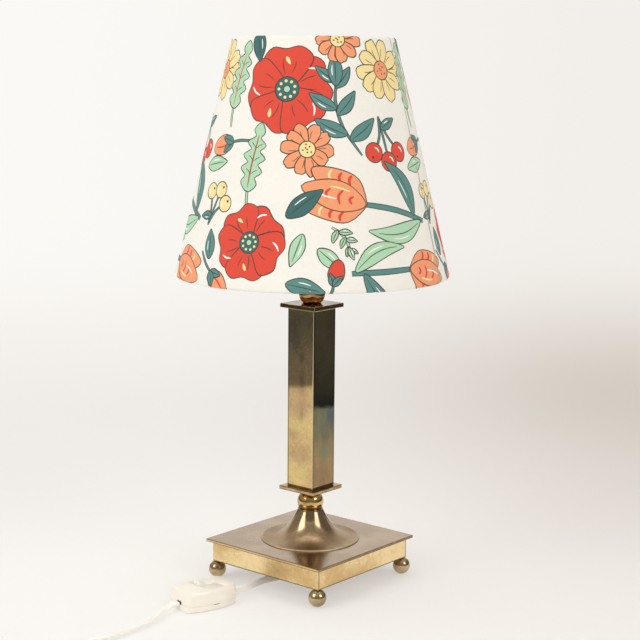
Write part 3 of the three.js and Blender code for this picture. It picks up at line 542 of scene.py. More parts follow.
# Flex: a flat twin lead
FLEX_W = 5.7
FLEX_T = 3.3
FLEX_GAP = 0.3
FLEX_GROOVE = 0.25
FLEX_TILT = math.radians(32)
LEAD_Z = 5.6
LAMP_ROUTE = [
    (0, 0, 23.7), (0, 0, 17.5), (0, -1.1, 12.1), (-0.4, -4.2, 7.5), (-1.6, -8.9, 4.6), (-3.6, -15, 3.8),
    (-8, -30, 4.2), (-10.2, -46, 5), (-9.6, -62, 5.3), (-8.9, -76, 5.2), (-10.7, -87, 5.4),
]
PLUG_ROUTE = [
    (-24.8, -150, 5.4), (-21.5, -160, 4.9), (-15.2, -184, 4.1), (-13, -208, 3.7), (-14.6, -234, 3.6),
    (-20, -268, 4),
]
TAIL_ROUTE = [(59, -330.5, 9.4), (75, -317.5, 7.8), (93, -303.5, 7.1), (109, -291.5, 7.1)]
COIL_STEPS = 24
COIL_TURNS = 8.41
COIL_MEAN_R = 30
COIL_PITCH = 3.9
COIL_DIP = 2.2
COIL_LAYER = 6.3
COIL_CENTRE = (11, -318)
COIL_START = 162.6
COIL_Z = 4.6
COIL_LEAD = 1.2
SWITCH_AT = (-23.5, -143.2)
SWITCH_TURN = math.radians(13)
SWITCH_L = 50.5


def switch_place(across, along, up):
    """A point of the switch, by distance across it, from its plug end and from the floor."""
    return set_down(SWITCH_AT, -SWITCH_TURN, across, along, up)


def coil_line():
    """Middle of the wound flex: inward below, a step up, and outward above."""
    count = round(COIL_TURNS * COIL_STEPS)
    turn = np.linspace(0, COIL_TURNS, count + 1)
    half = COIL_TURNS / 2
    depth = np.abs(turn - half)
    rise = np.clip((turn - half) * 2 + 0.5, 0, 1)
    dip = COIL_DIP * np.clip(1 - 2 * depth, 0, None)
    radius = COIL_MEAN_R + COIL_PITCH * (depth - half / 2) - dip
    angle = np.radians(COIL_START) + turn * FULL_TURN
    x, y = COIL_CENTRE[0] + radius * np.cos(angle), COIL_CENTRE[1] + radius * np.sin(angle)
    return np.stack([x, y, COIL_Z + COIL_LAYER * rise ** 2 * (3 - 2 * rise)], -1)


def flex_section(points=9):
    """Two cores side by side under one skin, with a shallow groove between them."""
    reach = (FLEX_W - FLEX_T) / 2
    angle = np.linspace(-QUARTER, QUARTER, points)
    right = np.stack([reach + FLEX_T / 2 * np.cos(angle), FLEX_T / 2 * np.sin(angle)], -1)
    shoulder, groove = (reach * 0.35, FLEX_T / 2 - 0.08), (0, FLEX_T / 2 - FLEX_GROOVE)
    half = np.concatenate([right, [shoulder, groove], [(-shoulder[0], shoulder[1])]])
    return np.concatenate([half, -half])


def flex(name, line, twist, *stands_for):
    """Lead along a line; its wide way starts along X and turns by twist on the way."""
    section = flex_section()
    run = np.gradient(line, axis=0)
    run /= np.linalg.norm(run, axis=1, keepdims=True)
    wide = np.array((1.0, 0.0, 0.0))
    rings = []
    for here, ahead, turn in zip(line, run, twist):
        wide = wide - ahead * (wide @ ahead)
        wide /= np.linalg.norm(wide)
        thick = np.cross(ahead, wide)
        c, s = math.cos(turn), math.sin(turn)
        across, over = wide * c + thick * s, thick * c - wide * s
        rings.append(here + section[:, :1] * across + section[:, 1:] * over)
    return shown(lofted(name, rings, PVC), STAND, "flex_pvc", *stands_for)


def easing(count, start, end):
    """0 before the start share, 1 after the end share, smooth between."""
    t = np.clip((np.linspace(0, 1, count) - start) / (end - start), 0, 1)
    return t * t * (3 - 2 * t)


def make_flexes():
    """The lead from the base to the switch, and from there through its put-away coil to the plug."""
    lamp_end = switch_place(0, SWITCH_L + FLEX_GAP - 1, LEAD_Z)
    lamp_line = smooth([*LAMP_ROUTE, lamp_end], 4, closed=False)
    count = len(lamp_line)
    on_edge = QUARTER * easing(count, 0.12, 0.4)
    on_edge += FLEX_TILT * (easing(count, 0.2, 0.5) - easing(count, 0.84, 0.98))
    lamp_flex = flex("flex_to_switch", lamp_line, on_edge, "flex_lamp_side")
    plug_end = switch_place(0, 1 - FLEX_GAP, LEAD_Z)
    coil = coil_line()
    meet = coil[0] - (coil[1] - coil[0]) * COIL_LEAD
    before = smooth([plug_end, *PLUG_ROUTE, meet, coil[0]], 4, closed=False)[:-4]
    leave = coil[-1] + (coil[-1] - coil[-2]) * COIL_LEAD
    after = smooth([coil[-1], leave, *TAIL_ROUTE], 4, closed=False)[4:]
    plug_line = np.concatenate([before, coil, after])
    count = len(plug_line)
    share, ending = len(before) / count, (len(before) + len(coil)) / count
    twist = QUARTER * (easing(count, share * 0.45, share) - easing(count, ending, 0.999))
    plug_flex = flex("flex_to_plug", plug_line, twist, "flex_plug_side", "flex_coil", "flex_tail")
    return (lamp_flex, lamp_line), (plug_flex, plug_line)


(lamp_flex, lamp_line), (plug_flex, plug_line) = make_flexes()


# Base and stem
ROD_BORE = 5.3
PLATE_BORE = 5.6
HAIR = 0.01
BASE_ROUND = 0.5
BARE_BELOW = 0.8
BARE_ABOVE = 0.75
SKIRT_WALL = 1.2
SKIRT_DARK_TOP = 1.5
SKIRT_DARK_FOOT = 0.7
FOOT_NAMES = ["ball_foot_front_left", "ball_foot_front_right", "ball_foot_back_left", "ball_foot_back_right"]
BALL_FLAT = 0.17


def near_side(points, half, depth=HAIR):
    """Which points lie on the four outer sides of a square piece, or this deep under them."""
    return np.abs(points[:, :2]).max(1) > half - depth


def make_base():
    low, high = span("base_top_plate")
    edge = high[0]
    bare_low, bare_high = low[2] + BARE_BELOW, high[2] - BARE_ABOVE
    side = stacked(edge, low[2], bare_low, bare_high, high[2])
    plate = soften([(PLATE_BORE, low[2]), *side, (PLATE_BORE, high[2])], BASE_ROUND)

    def rubbed(points):
        """A bright line, rubbed bare, along the middle of the edge, weaker on the +X side, which is painted
        darker as shade.
        """
        bare = near_side(points, edge) & (points[:, 2] > bare_low - HAIR) & (points[:, 2] < bare_high + HAIR)
        return bare * np.where(points[:, 0] > edge - HAIR, 0.35, 1.0)

    def grime(points):
        """Painted shade: dark lines above and below that line, and over it on the +X side."""
        return near_side(points, edge, 0.45) * (1 - rubbed(points))

    mesh = squared("base_plate", plate, BRASS_PLATE, 0.9, rubbed=rubbed, grime=grime)
    shown(mesh, STAND, "brass", "base_top_plate")
    low, high = span("base_skirt")
    half, inner = high[0], high[0] - SKIRT_WALL
    under, over = high[2] - SKIRT_DARK_TOP, low[2] + SKIRT_DARK_FOOT
    side = stacked(half, low[2], over, over + 0.4, under - 0.5, under, high[2])
    band = soften([(inner, low[2]), *side, (inner, high[2])], BASE_ROUND, fall=1.6)

    def edge_grime(points):
        """Painted shade: dark lines under the plate, along the lower edge and beside the upright corners."""
        level = (points[:, 2] > under - HAIR) | (points[:, 2] < over + HAIR)
        beside = (points[:, 0] > half - HAIR) & (np.abs(points[:, 1]) > half - 1.6)
        return np.maximum(level, 0.8 * beside)

    shown(squared("base_skirt_band", band, BRASS_SKIRT, 0.8, grime=edge_grime), STAND, "brass", "base_skirt")


def ball_feet(g, given):
    """A ball with a worn flat below, at each corner of a square."""
    ball = g.shape("MeshUVSphere", Segments=given["Segments"], Rings=given["Rings"], Radius=given["Ball radius"])
    place = g.add("ShaderNodeSeparateXYZ", {0: g.shape("InputPosition")})
    floor = g.times(given["Ball height"], -1.0)
    kept = g.xyz(X=place["X"], Y=place["Y"], Z=g.calc("MAXIMUM", place["Z"], floor))
    spread = given["Spread"]
    corners = g.shape("MeshGrid", Size_X=spread, Size_Y=spread, Vertices_X=2, Vertices_Y=2)
    return g.shape("InstanceOnPoints", Points=g.raised(corners, given["Ball height"]),
                   Instance=g.shape("SetPosition", Geometry=ball, Position=kept))


def make_feet():
    low, high = span("ball_foot_front_right")
    radius = (high[0] - low[0]) / 2
    lengths = {"Ball radius": radius, "Ball height": radius - BALL_FLAT, "Spread": low[0] + high[0]}
    mesh = settle(grown("ball_feet", ball_feet, BRASS_BALL, lengths, {"Segments": 48, "Rings": 28}))
    shown(mesh, STAND, "brass", *FOOT_NAMES)


RIM_SHARE = 0.06
LIP_SHARE = 0.12
RIM_SLOPE = 0.6
FOOT_RIM = 1.0
FOOT_LIP = 0.9
FOOT_NECK_R = 11.3
FOOT_POWER = 2.8
FOOT_WALL = 1.4


def flared_skin(g, given):
    """Skin of the spun foot: a sloping rim, a rise by a power of the way in, and a rounded lip at the neck."""
    steps = {"Vertices X": given["Segments"], "Vertices Y": given["Steps"]}
    grid = g.add("GeometryNodeMeshGrid", {"Size X": 1.0, "Size Y": 1.0, **steps})
    way = g.add("ShaderNodeSeparateXYZ", {0: grid["UV Map"]})
    turn = g.times(way["X"], FULL_TURN)
    along = g.times_plus(way["Y"], 1 + RIM_SHARE + LIP_SHARE, -RIM_SHARE)
    inward, below = g.calc("ADD", along, 0.0, clamp=True), g.calc("MINIMUM", along, 0.0)
    over = g.times(g.calc("MAXIMUM", g.minus(along, 1.0), 0.0), QUARTER / LIP_SHARE)
    reach = g.minus(given["Rim radius"], given["Neck radius"])
    radius = g.minus(given["Rim radius"], g.times(reach, inward))
    radius = g.minus(radius, g.times(given["Lip"], g.minus(1.0, g.calc("COSINE", over))))
    rise = g.minus(g.minus(given["Height"], given["Rim height"]), given["Lip"])
    climb = g.times(rise, g.calc("POWER", inward, given["Power"]))
    climb = g.times_plus(given["Lip"], g.calc("SINE", over), climb)
    rim = g.times(given["Rim height"], g.times_plus(below, 1 / RIM_SHARE, 1.0))
    radius = g.plus(radius, g.times(g.minus(given["Rim height"], rim), RIM_SLOPE))
    height = g.plus(g.plus(rim, climb), given["Base height"])
    x, y = (g.times(radius, g.calc(wave, turn)) for wave in ("COSINE", "SINE"))
    skin = g.shape("SetPosition", Geometry=grid["Mesh"], Position=g.xyz(X=x, Y=y, Z=height))
    from_edge = g.calc("DIVIDE", g.calc("ABSOLUTE", g.plus(along, 0.02)), 0.05)
    worn = g.calc("SUBTRACT", 1.0, from_edge, clamp=True)
    dull = g.calc("DIVIDE", g.minus(0.92, inward), 0.5, clamp=True)
    for label, value in (("wear", worn), ("dull", dull)):
        skin = g.shape("StoreNamedAttribute", Geometry=skin, Name=label, Value=value)
    return skin


# Name, finish, radius of the flat above, height of the collar above
KNOPS = [("lower_knop", BRASS_KNOP, 7.4, 2.73), ("upper_knop", BRASS_SHADED_KNOP, 5.75, 0.0)]
KNOP_STEPS = 26
SQUARES = [("lower_square_plate", BRASS_SQUARE), ("upper_square_plate", BRASS_SHADED_SQUARE)]
SQUARE_DARK = 0.8


def make_stem():
    low, high = span("flared_foot")
    lengths = {"Rim radius": high[0] - RIM_SLOPE * FOOT_RIM, "Neck radius": FOOT_NECK_R, "Lip": FOOT_LIP,
               "Height": high[2] - low[2], "Rim height": FOOT_RIM, "Base height": low[2]}
    values = {"Power": FOOT_POWER, "Segments": 129, "Steps": 72}
    skin = settle(grown("flared_foot_skin", flared_skin, BRASS_FOOT, lengths, values))
    walled(shown(skin, STAND, "brass", "flared_foot"), FOOT_WALL)
    for name, brass, neck, collar in KNOPS:
        low, high = span(name)
        radius = high[0]
        crown = math.sqrt(radius ** 2 - neck ** 2)
        middle = high[2] - collar - crown
        lowest, highest = -math.asin((middle - low[2]) / radius), math.asin(crown / radius)
        angle = np.linspace(lowest, highest, KNOP_STEPS)
        ball = [(radius * math.cos(a), middle + radius * math.sin(a), 0.0) for a in angle]
        bore = [(neck, high[2], 0.0), (ROD_BORE, high[2], 0.0), (ROD_BORE, low[2], 0.0)]
        shown(turned(f"{name}_ball", [*ball, *bore], brass), STAND, "brass", name)
    for name, brass in SQUARES:
        low, high = span(name)
        middle, line = (low[2] + high[2]) / 2, (high[2] - low[2]) / 2 - SQUARE_DARK
        side = stacked(high[0], low[2], middle - line, middle + line, high[2])
        profile = soften([(PLATE_BORE, low[2]), *side, (PLATE_BORE, high[2])], 0.4, reach=4.0, fall=0.3)

        def grime(points):
            """Painted shade: dark lines along the upper and the lower edge."""
            return near_side(points, high[0], 0.3) & (np.abs(points[:, 2] - middle) > line + HAIR)

        shown(squared(f"{name}_face", profile, brass, 0.8, grime=grime), STAND, "brass", name)


# Spots on two sides of the column: side, share across, share of its height, half width, half height, strength
COLUMN_STAINS = {
    "blue_stain": [("right", 0.8, 0.4, 5, 13, 1.0), ("right", 0.3, 0.34, 5, 9, 0.5),
                   ("left", 0.3, 0.83, 6, 16, 0.35)],
    "green_stain": [("right", 0.55, 0.2, 5, 7, 0.9), ("right", 0.4, 0.4, 5, 10, 0.5),
                    ("left", 0.35, 0.8, 6, 10, 0.3)],
    "smudge_and_shade": [("left", 0.55, 0.73, 2.6, 4, 0.8), ("left", 0.57, 0.61, 2.6, 9, 0.55),
               ("left", 0.55, 0.42, 2.6, 7, 0.45), ("left", 0.2, 0.3, 6, 4, 0.3)],
}
# Films right across one side: side, strength, share of its height where strongest, and reach from there. The two
# films on the right side are tarnish that also paints that side darker as painted shade
COLUMN_BANDS = {
    "bluing_and_shade": ("right", 1.15, 0.36, 0.2), "blush_and_shade": ("right", 1.15, 0.02, 0.2), "bloom": ("left", 1.2, 0.66, 0.17),
}
COLUMN_WALL = 1.5


def make_column():
    low, high = span("square_column")
    half, height = high[0], high[2] - low[2]
    profile = soften(oblong(half - COLUMN_WALL, half, low[2], high[2]), 0.7, reach=4.0)

    def on_side(points, side):
        return points[:, 0] > half - 0.4 if side == "right" else points[:, 1] < 0.4 - half

    def band(points, side, strength, centre, reach):
        """A film that fades along the height of one side."""
        fade = np.exp(-(((points[:, 2] - low[2]) / height - centre) / reach) ** 2)
        return on_side(points, side) * np.clip(strength * fade, 0, 1)

    def stain(points, spots):
        """Soft spots on the two sides."""
        value = np.zeros(len(points))
        for side, across, share, wide, tall, strength in spots:
            way = points[:, 1] if side == "right" else points[:, 0]
            aside = (way + half - across * 2 * half) / wide
            above = (points[:, 2] - low[2] - share * height) / tall
            value = np.maximum(value, on_side(points, side) * strength * np.exp(-aside ** 2 - above ** 2))
        return value

    def smudge_and_shade(points):
        """Spots of grime, and painted shade lines beside the upright edges."""
        x, y = points[:, 0], points[:, 1]
        line = 0.9 * (x > half - 0.3) * (np.abs(y) > half - 1.5) * (y < half - 0.05)
        line = np.maximum(line, 0.8 * (y < 0.3 - half) * (x < 1.5 - half))
        return np.maximum(line, stain(points, COLUMN_STAINS["smudge_and_shade"]))

    paint = {label: lambda points, row=row: band(points, *row) for label, row in COLUMN_BANDS.items()}
    paint |= {label: lambda points, row=row: stain(points, row) for label, row in COLUMN_STAINS.items()}
    paint["smudge_and_shade"] = smudge_and_shade
    shown(squared("column_tube", profile, BRASS_COLUMN, 0.7, **paint), STAND, "brass", "square_column")


make_base()
make_feet()
make_stem()
make_column()


# Lampholder and bulb
HOLDER_WALL = 1.5
CAP_NECK_R = 8
NUT_GAP = 0.3
RIB_COUNT = 48
RIB_DEPTH = 1.3
RIB_W = 1.4
RIB_FOOT = 0.7
RIB_ENDS = 2.4
BULB_OUTLINE = [
    (11.8, 0), (12, 6.4), (14, 12), (16.8, 20), (22.4, 31), (28, 43), (30, 55), (28.4, 67), (22, 78), (12, 84.6),
    (0, 87),
]
GLASS_T = 0.8
CROWN_T = 0.6
CROWN_FROM = 60


def knurl(g, given):
    """Upright ribs around a ring."""
    loop = g.shape("MeshCircle", Vertices=given["Ribs"], Radius=given["Ring radius"])
    size = g.xyz(X=given["Rib depth"], Y=given["Rib width"], Z=given["Rib height"])
    spots = g.raised(loop, given["Middle height"])
    return g.copies(spots, g.shape("MeshCube", Size=size), given["Ribs"])


def make_holder():
    low, high = span("holder_cap")
    outer, neck = high[0], CAP_NECK_R
    inner = outer - HOLDER_WALL
    cap = [(ROD_BORE, 0), (neck, 0), (neck, 4), (outer, 12), (outer, 18), (inner, 18), (inner, 12.7),
           (neck, 5.5), (ROD_BORE, 5.5)]
    mesh = turned("holder_cap_shell", soften(cap, 1.2), BRASS_HOLDER, lift=low[2])
    shown(mesh, STAND, "holder_brass", "holder_cap")
    low, high = span("holder_shell")
    flange = high[0]
    shell = [(inner, 0), (outer, 0), (outer, 17), (flange, 17), (flange, 18.5), (outer, 18.5), (outer, 33),
             (inner, 33)]
    mesh = turned("holder_sleeve", soften(shell, 0.5), BRASS_HOLDER, lift=low[2])
    shown(mesh, STAND, "holder_brass", "holder_shell")
    low, high = span("shade_nut")
    foot = high[0] - RIB_FOOT
    ring = turned("shade_nut_turned", soften(oblong(outer + NUT_GAP, foot, low[2], high[2]), 0.8), BRASS_HOLDER)
    lengths = {"Ring radius": foot, "Rib depth": RIB_DEPTH, "Rib width": RIB_W,
               "Rib height": high[2] - low[2] - RIB_ENDS, "Middle height": (low[2] + high[2]) / 2}
    ribs = grown("shade_nut_ribs", knurl, BRASS_HOLDER, lengths, {"Ribs": RIB_COUNT})
    shown(joined("shade_nut_ring", ring, ribs), STAND, "holder_brass", "shade_nut")


def make_bulb():
    low, _ = span("bulb_glass")
    outer = smooth(BULB_OUTLINE, 4, closed=False)
    r, z = outer[::-1].T
    inner = np.column_stack([np.clip(r - GLASS_T, 0, None), z - CROWN_T * (z > CROWN_FROM)])
    inner[-1, 1] = 0
    glass = turned("bulb_globe", np.concatenate([outer, inner]), OPAL, lift=low[2])
    shown(glass, BULB, "bulb_glass", "bulb_glass")


make_holder()
make_bulb()


# Wires of the shade's carrier and spider
WIRE_R = 1.6
SPOKE_R = 1.2
PLATE_T = 1.5
CARRIER_PEG = 4
CARRIER_EDGE_R = 27
CARRIER_TOP_R = 20
CARRIER_HUB_R = 10.4
CARRIER_BORE = 19.8
CARRIER_BULGE = [(0.09, 30), (0.25, 39), (0.46, 41), (0.7, 38), (0.91, 28)]


def bent_wires(g, given):
    """Round wire along the given line, repeated around the upright axis."""
    line = g.shape("MeshToCurve", Mesh=given["Geometry"])
    ring = g.shape("CurvePrimitiveCircle", Resolution=given["Sides"], Radius=given["Wire radius"])
    wire = g.shape("CurveToMesh", Curve=line, Profile_Curve=ring, Fill_Caps=True)
    return g.copies(g.shape("Points", Count=given["Wires"]), wire, given["Wires"])


def wires(name, path, bearing):
    """Three wires along a path of distance out and height."""
    line = smooth(path, 6, closed=False)
    points = [(r * math.cos(bearing) * MM, r * math.sin(bearing) * MM, z * MM) for r, z in line]
    base = bpy.data.meshes.new(name)
    base.from_pydata(points, [(k, k + 1) for k in range(len(points) - 1)], [])
    return settle(grown(name, bent_wires, WHITE_WIRE, {"Wire radius": SPOKE_R}, {"Wires": 3, "Sides": 12}, base))


def make_carrier():
    low, high = span("shade_carrier")
    base, shelf = low[2], high[2] - CARRIER_PEG
    edge, top, hub, peg = CARRIER_EDGE_R, CARRIER_TOP_R, CARRIER_HUB_R, high[2]
    bulge = [(r, base + share * (shelf - base)) for share, r in CARRIER_BULGE]
    path = [(edge - SPOKE_R, base + SPOKE_R), *bulge, (top - SPOKE_R, shelf - 1.4)]
    low_ring = turned("carrier_low", soften(oblong(CARRIER_BORE, edge, base, base + PLATE_T), 0.4), WHITE_WIRE)
    crown = [(hub - PLATE_T, shelf - PLATE_T), (top, shelf - PLATE_T), (top, shelf), (hub, shelf), (hub, peg),
             (hub - PLATE_T, peg)]
    top_ring = turned("carrier_crown", soften(crown, 0.4), WHITE_WIRE)
    whole = joined("carrier_frame", low_ring, top_ring, wires("carrier_wires", path, math.pi / 3))
    shown(whole, CARRIER, "white_wire", "shade_carrier")


make_carrier()


# Shade
low, high = span("shade_fabric")
SHADE_Z = low[2]
SHADE_H = high[2] - low[2]
SHADE_BOTTOM_R = high[0]
SHADE_TOP_R = 69.5
SLANT = math.hypot(SHADE_H, SHADE_BOTTOM_R - SHADE_TOP_R)
LEAN_SINE = (SHADE_BOTTOM_R - SHADE_TOP_R) / SLANT
LEAN_COSINE = SHADE_H / SLANT
ROLL_R = 2.3
HEM = 7.0
FABRIC_T = 0.6
LAP = 12.0
LAP_RISE = 0.7
SEAM_BEARING = math.radians(9)
LOW_BEND = ROLL_R * (1 + LEAN_SINE) / LEAN_COSINE
HIGH_BEND = SLANT - ROLL_R * (1 - LEAN_SINE) / LEAN_COSINE

# Flat cut of its cloth, a ring sector around the cone's tip
CUT_OUTER = SHADE_BOTTOM_R / LEAN_SINE
CUT_ANGLE = FULL_TURN * LEAN_SINE
CUT_END = CUT_ANGLE + LAP / CUT_OUTER
CUT_LOW = LOW_BEND - math.pi * ROLL_R - HEM
CUT_HIGH = HIGH_BEND + math.pi * ROLL_R + HEM
LOW_REACH = CUT_OUTER - CUT_HIGH
HIGH_REACH = CUT_OUTER - CUT_LOW
CUT_STEP = 6.0
BEND_STEPS = 6
LAP_STEPS = 9
# Width of the painted shadow line along the edge of the lap
SEAM_SHADOW_WIDTH = 1.9


def on_shade(swing, climb):
    """Point of the flat cut, placed on the shade: its angle on the cut, and its way up from the lower edge."""
    bearing = SEAM_BEARING + swing / LEAN_SINE
    straight = np.clip(climb, LOW_BEND, HIGH_BEND)
    r = SHADE_BOTTOM_R - straight * LEAN_SINE
    z = straight * LEAN_COSINE
    below, above, half_roll = LOW_BEND - climb, climb - HIGH_BEND, math.pi * ROLL_R
    roll = np.clip(below / ROLL_R, 0, math.pi) - np.clip(above / ROLL_R, 0, math.pi)
    tuck = np.clip(below - half_roll, 0, None) - np.clip(above - half_roll, 0, None)
    under = ROLL_R * (1 - np.cos(roll))
    ahead = tuck - ROLL_R * np.sin(roll)
    lapped = np.clip((swing / CUT_ANGLE - 1) * FULL_TURN * SHADE_BOTTOM_R / LAP * 2 + 1.35, 0, 1)
    out = LAP_RISE * lapped * lapped * (3 - 2 * lapped) * (np.abs(roll) < 0.01) - under
    r = r + out * LEAN_COSINE - ahead * LEAN_SINE
    z = z + out * LEAN_SINE + ahead * LEAN_COSINE
    return np.stack([r * np.cos(bearing), r * np.sin(bearing), z + SHADE_Z], -1)


# Print: flowers, leaves and berries of its own drawing, as outlines with a tint, from the lowest layer up
PALETTE = {
    "ground": "F6F3EA", "ink": "4A4743", "red": "E2503F", "wine": "B83A3A", "salmon": "F6A276", "teal": "5E8F8A",
    "pine": "45706E", "mint": "B4DCB8", "straw": "F9E3A3", "white": "FFFCF6", "seam": "B5AB9C",
}
INK_WIDTH = 0.85
REPEATS = 3
PRINT_SHIFT = 0.1825
draw = np.random.default_rng(7)


def turned_by(points, angle):
    c, s = math.cos(angle), math.sin(angle)
    return np.asarray(points, float) @ np.array([[c, s], [-s, c]])


def placed(layers, angle=0.0, at=(0, 0), grow=1.0):
    return [(turned_by(p * grow, angle) + np.asarray(at, float), tint) for p, tint in layers]


def circle(radius, count):
    angle = bearings(count)
    return np.stack([radius * np.cos(angle), radius * np.sin(angle)], -1)


def sideways(points, closed):
    """Unit way to the right of a line at each of its points."""
    p = np.asarray(points, float)
    run = np.roll(p, -1, 0) - np.roll(p, 1, 0) if closed else np.gradient(p, axis=0)
    run /= np.maximum(np.linalg.norm(run, axis=1, keepdims=True), 1e-9)
    return np.stack([run[:, 1], -run[:, 0]], 1)


def stroke(points, width, tint="ink", ends=0.25, grow=1.0):
    """Brush stroke along a line, thinner at its ends."""
    line = smooth(np.array(points) * grow, 3, closed=False)
    t = np.linspace(0.02, 0.98, len(line))
    half = width / 2 * (ends + (1 - ends) * np.sin(math.pi * t) ** 0.6)
    side = sideways(line, False) * half[:, None]
    return [(np.concatenate([line + side, (line - side)[::-1]]), tint)]


def stem(points, width, tint, ends=0.6, grow=1.0):
    return stroke(points, width + 1.4, "ink", ends, grow) + stroke(points, width, tint, ends, grow)


def patch(points, tint, ink=INK_WIDTH, per=4, grow=1.0):
    """Filled outline with an uneven ink edge around it."""
    outline = smooth(np.array(points) * grow, per)
    count = len(outline)
    after = np.roll(outline, -1, 0)
    area = np.sum(outline[:, 0] * after[:, 1] - after[:, 0] * outline[:, 1])
    out = sideways(outline, True) * math.copysign(1, area)
    wobble = np.convolve(np.tile(draw.normal(0, 0.25, count), 3), np.ones(5) / 5, "same")
    edge = outline + out * (ink * (1 + wobble[count:2 * count]))[:, None]
    return [(edge, "ink"), (outline, tint)] if ink else [(outline, tint)]


def leaf(length, width, tint, bend=0.0, shine=True):
    def spine(t):
        return np.array([length * t, bend * length * (t - t * t)])

    def half(t):
        return width / 2 * math.sin(math.pi * t ** 0.8) ** 0.85

    steps = np.linspace(0.07, 0.93, 5)
    upper = [spine(t) + (0, half(t)) for t in steps]
    lower = [spine(t) - (0, half(t)) for t in steps[::-1]]
    layers = patch([spine(0), *upper, spine(1), *lower], tint, per=3)
    layers += stroke([spine(t) for t in (0.04, 0.35, 0.62, 0.86)], 0.8)
    if shine:
        layers += stroke([spine(t) + (0, half(t) * 0.5) for t in (0.3, 0.45, 0.62)], 0.9, "white")
    return layers


PETAL = [(0, 0), (0.3, 0.3), (0.68, 0.5), (0.95, 0.3), (1, 0), (0.97, -0.28), (0.7, -0.5), (0.3, -0.28)]
PETAL_TIP = 4


def petal(length, width, tint, notch=0.1):
    shares = np.array(PETAL, float)
    shares[PETAL_TIP, 0] -= notch
    jitter = draw.normal(0, 0.018 * length, shares.shape)
    jitter[0] = 0
    return patch(shares * (length, width) + jitter, tint)


def poppy(size, tint="red", count=5):
    layers = []
    for k in range(count):
        layers += placed(petal(size, size * 1.18, tint), FULL_TURN * k / count + draw.normal(0, 0.06))
    for k in range(count):
        marks = stroke([(0.34, 0.05), (0.52, 0.1), (0.72, 0.1)], 0.8, grow=size)
        marks += stroke([(0.36, -0.1), (0.5, -0.17), (0.64, -0.2)], 0.7, grow=size)
        if k % 2:
            fleck = patch([(0, 0), (5, 1.6), (8, 0), (5, -1.8)], "straw", 0)
            marks += placed(fleck, 0.5, (size * 0.56, -size * 0.06), size / 38)
        else:
            marks += stroke([(0.6, 0.3), (0.74, 0.26), (0.85, 0.16)], 1.5, "white", grow=size)
        layers += placed(marks, FULL_TURN * k / count)
    layers += patch(circle(size * 0.27, 10), "pine")
    for spot in circle(size * 0.19, 9):
        layers += placed(patch(circle(1.3, 6), "straw", 0, 2), 0, spot, size / 36)
    return layers + patch(circle(size * 0.07, 7), "mint", 0.5, 2)


def daisy(size, tint, heart, count=10):
    layers = []
    for k in range(count):
        length = size * (1 + draw.normal(0, 0.04))
        layers += placed(petal(length, size * 0.5, tint, 0.02), FULL_TURN * k / count + draw.normal(0, 0.05))
    for k in range(count):
        mark = stroke([(0.42, 0), (0.6, 0.02), (0.74, 0)], 0.6, grow=size)
        layers += placed(mark, FULL_TURN * (k + 0.1) / count)
    layers += patch(circle(size * 0.3, 9), heart)
    for k in range(7):
        spot = turned_by([(size * 0.22 * math.sqrt(k / 7), 0)], 2.4 * k)[0]
        layers += placed(patch(circle(0.8, 5), "ink", 0, 1), 0, spot)
    return layers


CUP_SIDE = [(-0.04, 0), (0.2, 0.85), (0.6, 1), (1.02, 0.8), (0.86, 0.3), (0.5, 0.05), (0.1, 0)]
CUP_FRONT = [(-0.02, 0), (0.3, 0.5), (0.7, 0.52), (1.12, 0), (0.7, -0.52), (0.3, -0.5)]


def tulip(length):
    layers = stem([(-0.62, -0.1), (-0.3, -0.06), (0, 0)], 3.8, "teal", 0.8, length)
    layers += placed(leaf(length * 0.56, length * 0.15, "mint", 0.5), 0.5, (-length * 0.58, -length * 0.08))
    layers += placed(leaf(length * 0.5, length * 0.14, "teal", -0.5), -0.62, (-length * 0.5, -length * 0.1))
    cup = np.array([length * 0.46, length * 0.2])
    for flip in (1, -1):
        outer = np.array(CUP_SIDE) * (1, flip)
        layers += patch(outer[::flip], "salmon", grow=cup)
        for at, tint, width in ((0.32, "red", 2.6), (0.5, "red", 2.6), (0.68, "straw", 2.0)):
            bar = [(at, 0.5 * flip), (at + 0.05, 0.74 * flip), (at + 0.02, 0.93 * flip)]
            layers += stroke(bar, width, tint, grow=cup)
    layers += patch(CUP_FRONT, "salmon", grow=cup)
    for at, reach in ((0.22, 0.16), (0.42, 0.3), (0.64, 0.2)):
        layers += stroke([(at, -reach), (at + 0.06, 0), (at, reach)], 2.4, "red", grow=cup)
    layers += stroke([(0.5, 0.12), (0.7, 0.14), (0.86, 0.06)], 1.3, "white", grow=cup)
    return layers + stroke([(0.3, -0.3), (0.5, -0.32), (0.66, -0.28)], 1.6, "straw", grow=cup)


def sprig(length, tint="teal", pairs=3, bend=0.18):
    def line(t):
        return np.array([length * t, bend * length * math.sin(math.pi * t)])

    layers = stem([line(t) for t in (0, 0.3, 0.6, 0.82)], 1.6, tint, 0.5)
    for k in range(pairs):
        t = 0.2 + 0.55 * k / (pairs - 1)
        size = length * (0.36 - 0.05 * k)
        for side in (1, -1):
            turn = side * (0.95 - 0.1 * k) + draw.normal(0, 0.06)
            layers += placed(leaf(size, size * 0.4, tint, side * 0.2, side > 0), turn, line(t + 0.03 * side))
    return layers + placed(leaf(length * 0.34, length * 0.14, tint), -0.15, line(0.74))


